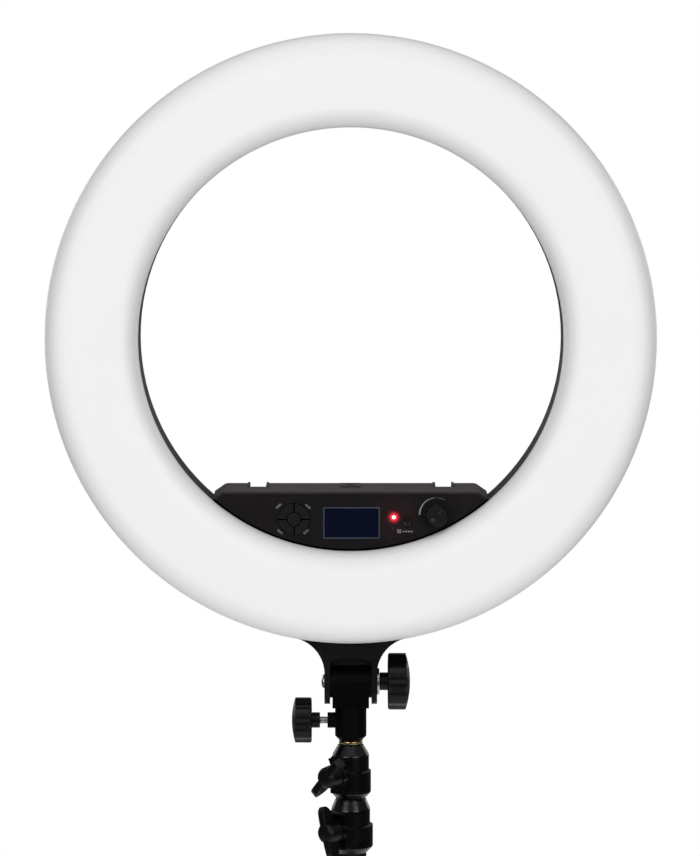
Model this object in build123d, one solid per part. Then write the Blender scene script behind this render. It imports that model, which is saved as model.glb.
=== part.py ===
from build123d import *
from math import cos, radians, sin, sqrt
import os

# A ring light on its folding stand. Millimetres, +Z up, the light shines towards -Y.
# Everything is drawn round the column's axis, with the floor at Z = 0.

# Driving dimensions of the ring
RING_RADIUS = 240.0
HOLE_RADIUS = 166.8
WALL = 2.5
RIM = 10.0
CROWN = 30.0
BACK = -28.0
CROWN_ROUND = 17.0
RING_HEIGHT = 1020.0
RING_SETBACK = -7.0

# Driving dimensions of the control box, seen from the front, from the ring's centre
BOX_TOP = -120.0
BOX_TOP_HALF = 100.0
BOX_SIDE_HALF = 109.0
BOX_LOW = -222.0
BOX_LOW_HALF = 78.0
BOX_SIDE_LOW = -188.0
BOX_BACK = -44.5
TOP_CORNER = 6.0
LOW_CORNER = 14.0
COVER_THICK = 2.5
PANEL_THICK = 2.5
FIT = 0.3

# Driving dimensions of the controls
PAD_AT = (-44.6, -141.5)
PAD_RADIUS = 12.9
SCREEN_AT = (0.6, -144.3)
SCREEN_SIZE = (44.6, 25.0)
LAMP_AT = (33.9, -139.8)
STANDBY_AT = (33.7, -148.7)
MODE_AT = (44.2, -143.6)
MODE_RADIUS = 4.0
DIMMER_AT = (67.3, -137.4)
DIMMER_RADIUS = 10.4
DIMMER_TALL = 11.0
BUTTON_FRONT = 13.2
BUTTON_BACK = 5.0
BOARD_FACE = 0.6
LATCH_AT = 74.0

# Driving dimensions of the tilting joint, heights from the ring's centre
TILT_DROP = -274.0
BARREL_RADIUS = 13.0
BARREL_HALF = 16.42
EAR_GAP_HALF = 16.5
EAR_OUT = 20.9
EAR_FOOT = -292.0
FORK_DEPTH = 26.0
FLARE_HALF = 46.0
BOLT_RADIUS = 2.95
RUNNING = 0.07

# Driving dimensions of the socket and the top spigot
NECK_FOOT = -293.5
SOCKET_RADIUS = 12.5
SOCKET_CHAMFER = -317.5
SOCKET_FOOT = -321.1
SPIGOT_RADIUS = 8.0
SPIGOT_TOP = -297.5
CLAMP_DROP = -305.2

# Driving dimensions of the telescoping column, heights from the ring's centre
INNER_TUBE = 9.0
MIDDLE_TUBE = 11.0
BASE_TUBE = 12.5
TUBE_WALL = 1.0
BASE_WALL = 1.2
UPPER_COLLAR_TOP = -325.0
LOWER_COLLAR_TOP = -368.7
UPPER_WING_DROP = -347.2
LOWER_WING_DROP = -391.9
WING_HEADING = 230.0
UPPER_WING_TURN = -42.0
LOWER_WING_TURN = 15.0
WING_REACH = 21.8
WING_THICK = 6.0

# Driving dimensions of the folding legs
LEG_LENGTH = 520.0
BRACE_LENGTH = 232.0
LEG_SPREAD = 57.0
PIVOT_RADIUS = 28.0
LEG_RADIUS = 8.0
STRIP_INNER = 8.3
STRIP_THICK = 2.0
STRIP_WIDE = 14.0
PIN_RADIUS = 2.5
PIN_FIT = 0.06
LEG_HEADINGS = (90.0, 210.0, 330.0)

# Derived places
UPPER_PIVOT = LEG_LENGTH * cos(radians(LEG_SPREAD))
LOWER_PIVOT = UPPER_PIVOT - 2.0 * BRACE_LENGTH * cos(radians(LEG_SPREAD))
FOOT_CIRCLE = PIVOT_RADIUS + LEG_LENGTH * sin(radians(LEG_SPREAD))
COLUMN_Y = -FOOT_CIRCLE / 4.0
BOX_SHOULDER = -sqrt(HOLE_RADIUS**2 - BOX_SIDE_HALF**2)
PANEL_BACK = RIM - 0.5
PANEL_FRONT = PANEL_BACK + PANEL_THICK
COVER_BACK = BOX_BACK - COVER_THICK
TILT_HEIGHT = RING_HEIGHT + TILT_DROP

STAND = Pos(0, COLUMN_Y, 0)
FACE = STAND * Pos(0, RING_SETBACK, RING_HEIGHT) * Rot(90, 0, 0)
LOW = (Align.CENTER, Align.CENTER, Align.MIN)


# Helpers


def rod(radius, low, high, at=(0.0, 0.0)):
    """A round bar along Z."""
    return Pos(at[0], at[1], low) * Cylinder(radius, high - low, align=LOW)


def rod_x(radius, low, high, y=0.0, z=0.0):
    """A round bar along X."""
    return Pos(low, y, z) * Rot(0, 90, 0) * Cylinder(radius, high - low, align=LOW)


def rod_y(radius, low, high, x=0.0, z=0.0):
    """A round bar along Y."""
    return Pos(x, low, z) * Rot(-90, 0, 0) * Cylinder(radius, high - low, align=LOW)


def block(x_span, y_span, z_span):
    """A box between two corners."""
    size = (x_span[1] - x_span[0], y_span[1] - y_span[0], z_span[1] - z_span[0])
    middle = (sum(x_span) / 2, sum(y_span) / 2, sum(z_span) / 2)
    return Pos(*middle) * Box(*size)


def rounded_face(outline, rounds):
    """A flat face from its corners, with chosen corners rounded."""
    face = Polygon(*outline, align=None)
    for corner, radius in rounds:
        vertex = face.vertices().sort_by_distance((*outline[corner], 0))[0]
        face = fillet(vertex, radius)
    return face


def turned(outline, rounds=()):
    """A solid turned about Z from its (radius, height) corners."""
    return revolve(Plane.XZ * rounded_face(outline, rounds), Axis.Z)


def slab(face, low, high):
    """A flat face made into a plate between two heights."""
    return Pos(0, 0, low) * extrude(face, high - low)


def drop(amount):
    """Height above the floor of a drop below the ring's centre."""
    return RING_HEIGHT + amount


def save(name, *solids):
    """Write one node, from one solid or from a group of them."""
    pieces = []
    for solid in solids:
        pieces.extend(solid.solids())
    shape = pieces[0] if len(pieces) == 1 else Compound(children=pieces)
    export_step(shape, f"parts/{name}.step")


# Outlines of the control box, in the ring's face frame: X right, Y up, Z forward


def segment_face(inset=0.0):
    """The part of the box that fills the foot of the ring's hole."""
    wide = RING_RADIUS
    corners = [
        (-wide, -wide), (wide, -wide), (wide, BOX_SHOULDER),
        (BOX_SIDE_HALF, BOX_SHOULDER), (BOX_TOP_HALF, BOX_TOP),
        (-BOX_TOP_HALF, BOX_TOP), (-BOX_SIDE_HALF, BOX_SHOULDER), (-wide, BOX_SHOULDER),
    ]
    face = Circle(HOLE_RADIUS) & rounded_face(corners, ((4, TOP_CORNER), (5, TOP_CORNER)))
    return offset(face, -inset) if inset else face


def back_face(inset=0.0):
    """The box's outline behind the ring."""
    outline = [
        (-BOX_LOW_HALF, BOX_LOW), (BOX_LOW_HALF, BOX_LOW), (BOX_SIDE_HALF, BOX_SIDE_LOW),
        (BOX_SIDE_HALF, BOX_SHOULDER), (BOX_TOP_HALF, BOX_TOP),
        (-BOX_TOP_HALF, BOX_TOP), (-BOX_SIDE_HALF, BOX_SHOULDER), (-BOX_SIDE_HALF, BOX_SIDE_LOW),
    ]
    low_corners = [(corner, LOW_CORNER) for corner in (0, 1, 2, 7)]
    face = rounded_face(outline, [*low_corners, (4, TOP_CORNER), (5, TOP_CORNER)])
    return offset(face, -inset) if inset else face


# The ring's housing

NOTCH_WIDE = 13.0
NOTCH_FRONT = -23.0
NOTCH_FLOOR = BOX_TOP - 20.0
NOTCH_WALL = 1.5
BOSS_CIRCLE = 203.0
BOSS_COUNT = 12
BOARD_BACK = 4.4
BOARD_THICK = 1.6
COVER_SCREWS = (
    (-101, -152), (101, -152), (-101, -182), (101, -182), (-36, -213), (36, -213),
)
STANDOFFS = ((-54, -174), (54, -174), (-54, -201), (54, -201))
DRIVER_FACE = -36.4
INSERT_AT = (0.0, -29.0)
FORK_SCREWS = (-12.0, 12.0)
VENT_GROUPS = (0.0, 45.0, 90.0, 135.0, 180.0)
VENT_COUNT = 7
VENT_STEP = 1.6


def ring_shell():
    inner = HOLE_RADIUS
    outer = RING_RADIUS
    outline = [
        (inner, BACK), (outer, BACK), (outer, RIM), (outer - WALL, RIM),
        (outer - WALL, BACK + WALL), (inner + WALL, BACK + WALL), (inner + WALL, RIM), (inner, RIM),
    ]
    return turned(outline, ((0, 3.0), (1, 8.0), (4, 5.5)))


def box_body():
    """The box's outside: the segment in the hole and the bump behind the ring."""
    return slab(segment_face(), BOX_BACK, PANEL_BACK) + slab(back_face(), BOX_BACK, BACK + 1.0)


def box_hollow():
    return slab(segment_face(WALL), BOX_BACK, PANEL_BACK) + slab(back_face(WALL), BOX_BACK, BACK)


def ring_of_boards():
    """Places of the bosses that hold the light board."""
    return PolarLocations(BOSS_CIRCLE, BOSS_COUNT, start_angle=15)


def notch(side):
    """The slot in the box's top edge that a battery latch sits in."""
    half = NOTCH_WIDE / 2
    middle = side * LATCH_AT
    width = (middle - half, middle + half)
    return block(width, (NOTCH_FLOOR, BOX_TOP + 5), (COVER_BACK - 5, NOTCH_FRONT))


def notch_lining(side):
    half = NOTCH_WIDE / 2 + NOTCH_WALL
    middle = side * LATCH_AT
    width = (middle - half, middle + half)
    floor = NOTCH_FLOOR - NOTCH_WALL
    return block(width, (floor, BOX_TOP - 1), (BOX_BACK, NOTCH_FRONT + NOTCH_WALL))


def notch_lips(side):
    """Two low ribs beside the latch slot."""
    lips = []
    for edge in (-1, 1):
        inner = side * LATCH_AT + edge * NOTCH_WIDE / 2
        outer = inner + edge * 2.0
        lips.append(block(sorted((inner, outer)), (BOX_TOP - 1, BOX_TOP + 1), (BOX_BACK, NOTCH_FRONT)))
    return lips


def top_pad():
    """The raised pad and the boss round the accessory thread."""
    pad = block((-8, 8), (BOX_TOP - 1, BOX_TOP + 1), (-39, -19))
    boss = Pos(0, BOX_TOP - 12, INSERT_AT[1]) * Rot(-90, 0, 0) * Cylinder(7, 12, align=LOW)
    return pad + boss


def insert_hole():
    mouth = Pos(0, BOX_TOP - 1, INSERT_AT[1]) * Rot(-90, 0, 0) * Cylinder(3.5, 3, align=LOW)
    seat = Pos(0, BOX_TOP - 10, INSERT_AT[1]) * Rot(-90, 0, 0) * Cylinder(4.5, 10, align=LOW)
    return mouth + seat


def fork_screw_holes(low):
    """Upright holes for the two screws that hold the fork."""
    hole = Rot(-90, 0, 0) * Cylinder(2.1, 20, align=LOW)
    return [Pos(x, low, RING_SETBACK) * hole for x in FORK_SCREWS]


def vents():
    """Short radial slots in the ring's back."""
    slots = []
    for middle in VENT_GROUPS:
        for index in range(VENT_COUNT):
            angle = middle + (index - VENT_COUNT // 2) * VENT_STEP
            slots.append(Rot(0, 0, angle) * block((186, 206), (-1.1, 1.1), (BACK - 1, BACK + WALL + 1)))
    return slots


def rear_housing():
    body = ring_shell() + box_body() - box_hollow()
    for side in (-1, 1):
        body += [notch_lining(side), *notch_lips(side)]
    body += top_pad()
    for place in ring_of_boards():
        body += place * rod(3.5, BACK + 1, BOARD_BACK)
    for spot in COVER_SCREWS:
        body += rod(3.5, BOX_BACK, BACK + 1, spot)
    for spot in STANDOFFS:
        body += rod(2.5, DRIVER_FACE, BACK + 1, spot)
    for side in (-1, 1):
        body -= notch(side)
    body -= insert_hole()
    body -= [place * rod(1.3, -6, BOARD_BACK + 1) for place in ring_of_boards()]
    body -= [rod(1.55, BOX_BACK - 1, -32, spot) for spot in COVER_SCREWS]
    body -= fork_screw_holes(-250.0)
    return body - vents()


def thread_insert():
    sleeve = Cylinder(4.45, 10, align=LOW) - Cylinder(2.6, 10, align=LOW)
    return Pos(0, BOX_TOP - 10, INSERT_AT[1]) * Rot(-90, 0, 0) * sleeve


# The light board and the diffuser


def led_board():
    plate = slab(Circle(235.0) - Circle(172.0), BOARD_BACK, BOARD_BACK + BOARD_THICK)
    return plate - [place * rod(1.5, 0, 10) for place in ring_of_boards()]


def led_emitters():
    """Two circles of small surface-mounted emitters."""
    low = BOARD_BACK + BOARD_THICK
    chips = []
    for radius, start in ((187.0, 0.0), (219.0, 3.0)):
        for place in PolarLocations(radius, 60, start_angle=start):
            chips.append(place * Pos(0, 0, low) * Box(3.5, 2.8, 0.8, align=LOW))
    return chips


def board_screws():
    head = BOARD_BACK + BOARD_THICK
    return [place * (rod(1.25, -5, head) + rod(2.8, head, head + 1.6)) for place in ring_of_boards()]


def diffuser():
    """A milky shell with rolled edges and a lip that snaps inside the rim."""
    inner = HOLE_RADIUS
    outer = RING_RADIUS
    skin = turned(
        [(inner, RIM), (inner, CROWN), (outer, CROWN), (outer, RIM)],
        ((1, CROWN_ROUND), (2, CROWN_ROUND)),
    )
    low = inner + WALL
    high = outer - WALL
    hollow = turned(
        [(low, RIM), (low, CROWN - WALL), (high, CROWN - WALL), (high, RIM)],
        ((1, CROWN_ROUND - WALL), (2, CROWN_ROUND - WALL)),
    )
    inner_lip = turned(
        [(169.6, 6.6), (171.4, 6.6), (171.4, 13.0), (169.0, 13.0), (169.0, 10.0), (169.6, 10.0)]
    )
    outer_lip = turned(
        [(235.6, 6.6), (237.2, 6.6), (237.2, 10.0), (237.8, 10.0), (237.8, 13.0), (235.6, 13.0)]
    )
    return skin - hollow + inner_lip + outer_lip


# The control panel


def sector(inner, outer, low, high, start):
    """A quarter of a ring, drawn back from its neighbours."""
    gap = 0.5
    ring = slab(Circle(outer) - Circle(inner), low, high)
    quarter = block((gap, outer + 1), (gap, outer + 1), (low - 1, high + 1))
    return Rot(0, 0, start) * (ring & quarter)


def front_panel():
    plate = slab(segment_face(FIT), PANEL_BACK, PANEL_FRONT)
    plate = chamfer(plate.faces().sort_by(Axis.Z)[-1].edges(), 0.6)
    screen = Rectangle(*SCREEN_SIZE)
    window = slab(Pos(*SCREEN_AT) * offset(screen, 0.15), PANEL_FRONT - 1.0, PANEL_FRONT + 1)
    window += slab(Pos(*SCREEN_AT) * offset(screen, -1.5), PANEL_BACK - 1, PANEL_FRONT)
    plate -= window
    for spot, radius in ((PAD_AT, PAD_RADIUS), (MODE_AT, MODE_RADIUS + FIT), (DIMMER_AT, 3.6),
                         (LAMP_AT, 1.65), (STANDBY_AT, 1.05)):
        plate -= rod(radius, PANEL_BACK - 1, PANEL_FRONT + 1, spot)
    return plate


def screen_window():
    face = Pos(*SCREEN_AT) * Rectangle(*SCREEN_SIZE)
    return slab(face, PANEL_FRONT - 1.0, PANEL_FRONT)


def screen_module():
    face = Pos(*SCREEN_AT) * Rectangle(46.0, 27.0)
    return slab(face, BOARD_FACE, PANEL_BACK)


def control_board():
    """The circuit board with a push switch behind each button."""
    outline = segment_face(4.0) & Pos(6, -145) * Rectangle(150, 60)
    board = slab(outline, BOARD_FACE - 1.6, BOARD_FACE)
    spots = [PAD_AT, MODE_AT]
    for heading in (45, 135, 225, 315):
        angle = radians(heading)
        spots.append((PAD_AT[0] + 9 * cos(angle), PAD_AT[1] + 9 * sin(angle)))
    for spot in spots:
        board += rod(1.9, BOARD_FACE, 3.8, spot)
    return board


def indicator_lamps():
    lamp = rod(1.6, BOARD_FACE, PANEL_FRONT + 0.4, LAMP_AT)
    standby = rod(1.0, BOARD_FACE, PANEL_FRONT + 0.1, STANDBY_AT)
    return [lamp, standby]


def dimmer_encoder():
    body = block((-6, 6), (-6, 6), (BOARD_FACE, PANEL_BACK))
    return Pos(*DIMMER_AT, 0) * (body - rod(3.05, 4.0, PANEL_BACK + 1))


def dimmer_knob():
    """A fluted knob with its stub shaft."""
    low = PANEL_FRONT + 0.4
    skirt = turned(
        [(0, low), (DIMMER_RADIUS, low), (DIMMER_RADIUS - 0.6, low + 5.0),
         (7.4, low + DIMMER_TALL), (0, low + DIMMER_TALL)],
        ((3, 1.2),),
    )
    flutes = [
        place * Rot(0, -14, 0) * rod(0.7, -2, 14)
        for place in Pos(0, 0, low) * PolarLocations(DIMMER_RADIUS + 0.2, 24)
    ]
    dimple = Pos(-3.6, -4.0, low + DIMMER_TALL + 1.1) * Sphere(1.7)
    return Pos(*DIMMER_AT, 0) * (skirt - flutes - dimple + rod(3.0, 4.6, low + 1))


def centre_button():
    key = rod(5.3, BUTTON_BACK, BUTTON_FRONT)
    return Pos(*PAD_AT, 0) * chamfer(key.edges().sort_by(Axis.Z)[-1], 0.5)


def arc_button(index):
    return Pos(*PAD_AT, 0) * sector(5.9, PAD_RADIUS - 0.4, BUTTON_BACK, BUTTON_FRONT, 90.0 * index)


def mode_button():
    bowl = Pos(0, 0, BUTTON_FRONT + 9.4) * Sphere(10.0)
    return Pos(*MODE_AT, 0) * (rod(MODE_RADIUS, BUTTON_BACK, BUTTON_FRONT) - bowl)


# The back of the box

INLET_AT = (-20.0, -152.0)
ROCKER_AT = (18.0, -152.0)
ROCKER_PIVOT = -44.5
PLATE_TOP = -142.0
PLATE_LOW = -200.0
PLATE_HALF = 20.0


def rear_cover():
    plate = slab(back_face(), COVER_BACK, BOX_BACK)
    plate = chamfer(plate.faces().sort_by(Axis.Z)[0].edges(), 1.2)
    x, up = ROCKER_AT
    bezel = block((x - 9, x + 9), (up - 13, up + 13), (COVER_BACK - 1.2, COVER_BACK + 1))
    plate += bezel
    for side in (-1, 1):
        cheek = block(sorted((x + side * 7.2, x + side * 9.0)), (up - 6, up + 6), (BOX_BACK - 1, -39.0))
        plate += cheek
        plate -= notch(side)
    plate -= block((x - 7.2, x + 7.2), (up - 10.8, up + 10.8), (COVER_BACK - 5, -38.0))
    plate -= rod_x(1.26, x - 12, x + 12, up, ROCKER_PIVOT)
    plate -= rod(5.5, COVER_BACK - 5, BOX_BACK + 5, INLET_AT)
    for spot in COVER_SCREWS:
        plate -= rod(1.6, COVER_BACK - 1, BOX_BACK + 1, spot)
        plate -= rod(3.1, COVER_BACK - 1, COVER_BACK + 1.6, spot)
    return plate


def cover_screws():
    head = COVER_BACK + 1.6
    cross = block((-1.8, 1.8), (-0.35, 0.35), (COVER_BACK - 1, COVER_BACK + 0.9))
    cross += block((-0.35, 0.35), (-1.8, 1.8), (COVER_BACK - 1, COVER_BACK + 0.9))
    screws = []
    for spot in COVER_SCREWS:
        screw = rod(3.0, COVER_BACK + 0.1, head, spot) + rod(1.5, head, -33, spot)
        screws.append(screw - Pos(*spot, 0) * cross)
    return screws


def power_inlet():
    body = rod(5.4, COVER_BACK - 1.5, -34) + rod(7.2, COVER_BACK - 1.6, COVER_BACK)
    body -= rod(2.85, COVER_BACK - 5, -38)
    return Pos(*INLET_AT, 0) * (body + rod(1.0, COVER_BACK - 0.5, -37))


def power_switch():
    """A rocker with a shallow V face, resting with its lower end in."""
    x, up = ROCKER_AT
    side = [
        (-9.4, -50.6), (0, -49.4), (9.4, -50.6), (9.4, -47.0),
        (3.0, -41.0), (-3.0, -41.0), (-9.4, -47.0),
    ]
    body = Plane.YZ.offset(-6.8) * extrude(Polygon(*side, align=None), 13.6)
    body += rod_x(1.2, -8.6, 8.6, 0, ROCKER_PIVOT)
    return Pos(x, up, 0) * Pos(0, 0, ROCKER_PIVOT) * Rot(-8, 0, 0) * Pos(0, 0, -ROCKER_PIVOT) * body


def battery_plate(side):
    """A slide-on plate with a hooked rail down each edge and a stop at the foot."""
    rail_back = COVER_BACK - 9.0
    rail_front = COVER_BACK - 1.0
    rail_span = (PLATE_LOW, PLATE_TOP - 6.0)
    plate = block((-PLATE_HALF, PLATE_HALF), (PLATE_LOW, PLATE_TOP), (COVER_BACK - 3.0, COVER_BACK))
    for edge in (-1, 1):
        outer = edge * PLATE_HALF
        plate += block(sorted((outer - edge * 3.0, outer)), rail_span, (rail_back, rail_front))
        plate += block(sorted((outer - edge * 5.0, outer)), rail_span, (rail_back, rail_back + 2.0))
    plate += block((-PLATE_HALF, PLATE_HALF), (PLATE_LOW, PLATE_LOW + 3.0), (rail_back, rail_front))
    return Pos(side * LATCH_AT, 0, 0) * plate


def battery_contacts():
    """Three sprung blades at the foot of each plate."""
    low = PLATE_LOW + 3.0
    back = COVER_BACK - 4.6
    blades = []
    for side in (-1, 1):
        for place in (-8, 0, 8):
            x = side * LATCH_AT + place
            blades.append(block((x - 1.2, x + 1.2), (low, low + 8.0), (back, back + 1.6)))
    return blades


def battery_latch(side):
    """A thumb tab with a tooth that stops a battery sliding off. Pressed forward, it lets go."""
    tab = block((-6.1, 6.1), (BOX_TOP - 17.0, BOX_TOP - 3.8), (COVER_BACK + 0.3, NOTCH_FRONT - 4.0))
    tab = chamfer(tab.edges().group_by(Axis.Y)[-1], 1.0)
    tooth = block((-3, 3), (BOX_TOP - 15, BOX_TOP - 10), (COVER_BACK - 2.5, COVER_BACK + 1))
    return Pos(side * LATCH_AT, 0, 0) * (tab + tooth)


def driver_board():
    """The power board with its larger components."""
    board = block((-60, 60), (-207, -168), (DRIVER_FACE - 1.6, DRIVER_FACE))
    for spot in ((-34, -186), (-14, -186)):
        board += rod(6.5, DRIVER_FACE, DRIVER_FACE + 6, spot)
    for spot in ((8, -180), (8, -196), (26, -188)):
        board += rod(4.0, DRIVER_FACE, DRIVER_FACE + 7, spot)
    return board + block((38, 48), (-196, -180), (DRIVER_FACE, DRIVER_FACE + 5))


# The tilting joint, still in the face frame


def tilt_fork():
    """A trumpet-shaped fork: its top fits the ring and its two ears hold the barrel."""
    ring_edge = sqrt(RING_RADIUS**2 - FLARE_HALF**2)
    waist = TILT_DROP + 10.0
    below = EAR_FOOT - 5.0
    lip = -ring_edge - 1.2
    arch = -256.0
    bend = (28.2, -246.4)
    outline = [
        ThreePointArc((-FLARE_HALF, -ring_edge), (0, -RING_RADIUS), (FLARE_HALF, -ring_edge)),
        Line((FLARE_HALF, -ring_edge), (FLARE_HALF, lip)),
        ThreePointArc((FLARE_HALF, lip), bend, (EAR_OUT, waist)),
        Line((EAR_OUT, waist), (EAR_OUT, below)),
        Line((EAR_OUT, below), (EAR_GAP_HALF, below)),
        Line((EAR_GAP_HALF, below), (EAR_GAP_HALF, arch)),
        ThreePointArc((EAR_GAP_HALF, arch), (0, arch + 3.1), (-EAR_GAP_HALF, arch)),
        Line((-EAR_GAP_HALF, arch), (-EAR_GAP_HALF, below)),
        Line((-EAR_GAP_HALF, below), (-EAR_OUT, below)),
        Line((-EAR_OUT, below), (-EAR_OUT, waist)),
        ThreePointArc((-EAR_OUT, waist), (-bend[0], bend[1]), (-FLARE_HALF, lip)),
        Line((-FLARE_HALF, lip), (-FLARE_HALF, -ring_edge)),
    ]
    front = RING_SETBACK + FORK_DEPTH / 2
    fork = slab(make_face(outline), front - FORK_DEPTH, front)
    web = (TILT_DROP + BARREL_RADIUS + 0.4, arch + 4.0)
    fork += block((-EAR_GAP_HALF, EAR_GAP_HALF), web, (front - FORK_DEPTH, RING_SETBACK + 3.0))
    ear_middle = EAR_FOOT + FORK_DEPTH / 2
    side = Pos((ear_middle - 230) / 2, RING_SETBACK) * Rectangle(-230 - ear_middle, FORK_DEPTH)
    side += Pos(ear_middle, RING_SETBACK) * Circle(FORK_DEPTH / 2)
    fork &= Plane.YZ.offset(-50) * extrude(side, 100)
    fork -= rod_x(BOLT_RADIUS + 0.05, -30, 30, TILT_DROP, RING_SETBACK)
    return fork - fork_screw_holes(-248.5)


def fork_screws():
    """Screws from inside the ring down into the fork."""
    screws = []
    for x in FORK_SCREWS:
        screw = Cylinder(2.0, 12, align=LOW) + Pos(0, 0, 11.2) * Cylinder(4.2, 3.2, align=LOW)
        screws.append(Pos(x, -248.0, RING_SETBACK) * Rot(-90, 0, 0) * screw)
    return screws


def tilt_bolt():
    shank = rod_x(BOLT_RADIUS, -EAR_OUT - 0.5, 37.0, TILT_DROP, RING_SETBACK)
    head = Pos(-EAR_OUT, TILT_DROP, RING_SETBACK) * Rot(0, -90, 0) * turned(
        [(0, 0), (5.5, 0), (5.5, 0.8), (3.6, 2.2), (0, 2.4)]
    )
    return shank + head


def tilt_washer():
    low = EAR_OUT
    ring = rod_x(10.5, low, low + 1.8, TILT_DROP, RING_SETBACK)
    return ring - rod_x(BOLT_RADIUS + 0.1, low - 1, low + 3, TILT_DROP, RING_SETBACK)


def lobed_head(radius, tall, lobes, crown):
    """A knob's head with shallow scallops round its rim and a domed end face."""
    dome = (radius**2 + crown**2) / (2 * crown)
    head = Cylinder(radius, tall, align=LOW) & Pos(0, 0, tall - dome) * Sphere(dome)
    bite = radius * 0.42
    places = PolarLocations(radius + bite * 0.72, lobes, start_angle=180.0 / lobes)
    return head - [place * rod(bite, -1, tall + 1) for place in places]


def tilt_knob():
    head = Pos(0, 0, 6.6) * lobed_head(22.5, 17.7, 6, 3.6)
    body = head + Cylinder(7.1, 8.0, align=LOW)
    body -= Cylinder(BOLT_RADIUS + RUNNING, 15.0, align=LOW)
    return Pos(EAR_OUT + 2.0, TILT_DROP, RING_SETBACK) * Rot(0, 90, 0) * body


# The socket that slips over the spigot


def socket_body():
    foot = drop(SOCKET_FOOT)
    body = turned(
        [(0, foot), (9.0, foot), (SOCKET_RADIUS, drop(SOCKET_CHAMFER)), (SOCKET_RADIUS, drop(NECK_FOOT)),
         (SOCKET_RADIUS, drop(NECK_FOOT) + 8), (0, drop(NECK_FOOT) + 8)]
    )
    body += block((-14.5, 14.5), (-12.5, 12.5), (drop(NECK_FOOT), TILT_HEIGHT))
    body += rod_x(BARREL_RADIUS, -BARREL_HALF, BARREL_HALF, 0, TILT_HEIGHT)
    body += rod_x(6.2, -18.5, 0, 0, drop(CLAMP_DROP))
    body -= rod(SPIGOT_RADIUS + 0.05, foot - 1, drop(SPIGOT_TOP + 2.0))
    body -= rod_x(3.02, -20, 0, 0, drop(CLAMP_DROP))
    return STAND * (body - rod_x(BOLT_RADIUS + RUNNING, -20, 20, 0, TILT_HEIGHT))


def clamp_screw():
    return STAND * rod_x(2.95, -31.0, -SPIGOT_RADIUS - 0.3, 0, drop(CLAMP_DROP))


def clamp_knob():
    head = Pos(0, 0, 6.6) * lobed_head(18.0, 15.8, 6, 2.8)
    body = head + Cylinder(6.15, 8.0, align=LOW) - Cylinder(2.97, 6.7, align=LOW)
    return STAND * Pos(-24.5, 0, drop(CLAMP_DROP)) * Rot(0, -90, 0) * body


# The telescoping column

TUBE_TOP = drop(-323.6)
INNER_FOOT = 78.0
MIDDLE_FOOT = 46.0
BASE_FOOT = 16.0


def spigot():
    """The brass stud on top of the column."""
    flange = rod(9.5, TUBE_TOP, TUBE_TOP + 2.4)
    stud = chamfer(rod(SPIGOT_RADIUS, TUBE_TOP, drop(SPIGOT_TOP)).edges().sort_by(Axis.Z)[-1], 1.5)
    return STAND * (flange + stud + rod(7.95, TUBE_TOP - 24, TUBE_TOP))


def tube(radius, wall, low, high):
    return rod(radius, low, high) - rod(radius - wall, low - 1, high + 1)


def guide_bush(radius, bore, low):
    """A plastic plug in a tube's foot whose rim slides in the next tube."""
    rim = rod(bore - 0.05, low - 12, low)
    return rim + rod(radius - TUBE_WALL - 0.05, low, low + 14) - rod(5.0, low - 13, low + 15)


def inner_tube():
    bush = guide_bush(INNER_TUBE, MIDDLE_TUBE - TUBE_WALL, INNER_FOOT)
    return [STAND * tube(INNER_TUBE, TUBE_WALL, INNER_FOOT, TUBE_TOP), STAND * bush]


def middle_tube():
    top = drop(UPPER_WING_DROP) - 4.0
    bush = guide_bush(MIDDLE_TUBE, BASE_TUBE - BASE_WALL, MIDDLE_FOOT)
    return [STAND * tube(MIDDLE_TUBE, TUBE_WALL, MIDDLE_FOOT, top), STAND * bush]


def base_tube():
    return STAND * tube(BASE_TUBE, BASE_WALL, BASE_FOOT, drop(LOWER_WING_DROP) - 4.0)


def wing_place(height):
    """A frame at the column's axis whose Z points along the wing screw."""
    heading = radians(WING_HEADING)
    return Location(Plane((0, 0, height), x_dir=(0, 0, 1), z_dir=(cos(heading), sin(heading), 0)))


def collar(top, screw, upper, lower, bore, seat):
    """A clamp collar in two tiers, with a lug and a boss for the wing screw."""
    step = top - 19.8
    foot = top - 37.8
    tail = foot - 4.6
    body = turned(
        [(0, top), (bore + 1.2, top), (upper, top - 7.5), (upper, step), (lower, step - 1.0),
         (lower, foot), (seat + 0.9, tail), (0, tail)],
        ((2, 3.0), (5, 2.0)),
    )
    place = wing_place(screw)
    lug = block((foot - screw, top - 8.0 - screw), (-8, 8), (6, lower - 0.4))
    lug = fillet(lug.edges().filter_by(Axis.Y).group_by(Axis.X)[-1], 3.0)
    body += place * lug
    body += place * rod(9.5, 8, 19.0)
    body -= place * rod(3.02, 0, 25)
    return body


def collar_ribs(screw):
    """Short slanted ribs beside the boss, above and below it."""
    place = wing_place(screw)
    ribs = []
    for rise in (9.0, -9.0):
        for step in range(3):
            rib = Pos(rise, 10.4 - step * 1.9, 12.2) * Rot(0, 0, 24) * Box(5.6, 0.8, 3.2)
            ribs.append(place * rib)
    return ribs


def upper_collar():
    top = drop(UPPER_COLLAR_TOP)
    screw = drop(UPPER_WING_DROP)
    body = collar(top, screw, 14.5, 16.1, INNER_TUBE, MIDDLE_TUBE)
    body += collar_ribs(screw)
    body -= rod(INNER_TUBE + 0.06, top - 60, top + 10)
    return STAND * (body - rod(MIDDLE_TUBE + 0.03, top - 60, screw - 4.0))


def lower_collar():
    top = drop(LOWER_COLLAR_TOP)
    screw = drop(LOWER_WING_DROP)
    body = collar(top, screw, 15.4, 17.7, MIDDLE_TUBE, BASE_TUBE)
    body += collar_ribs(screw)
    body -= rod(MIDDLE_TUBE + 0.06, top - 60, top + 10)
    return STAND * (body - rod(BASE_TUBE + 0.03, top - 60, screw - 4.0))


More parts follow.
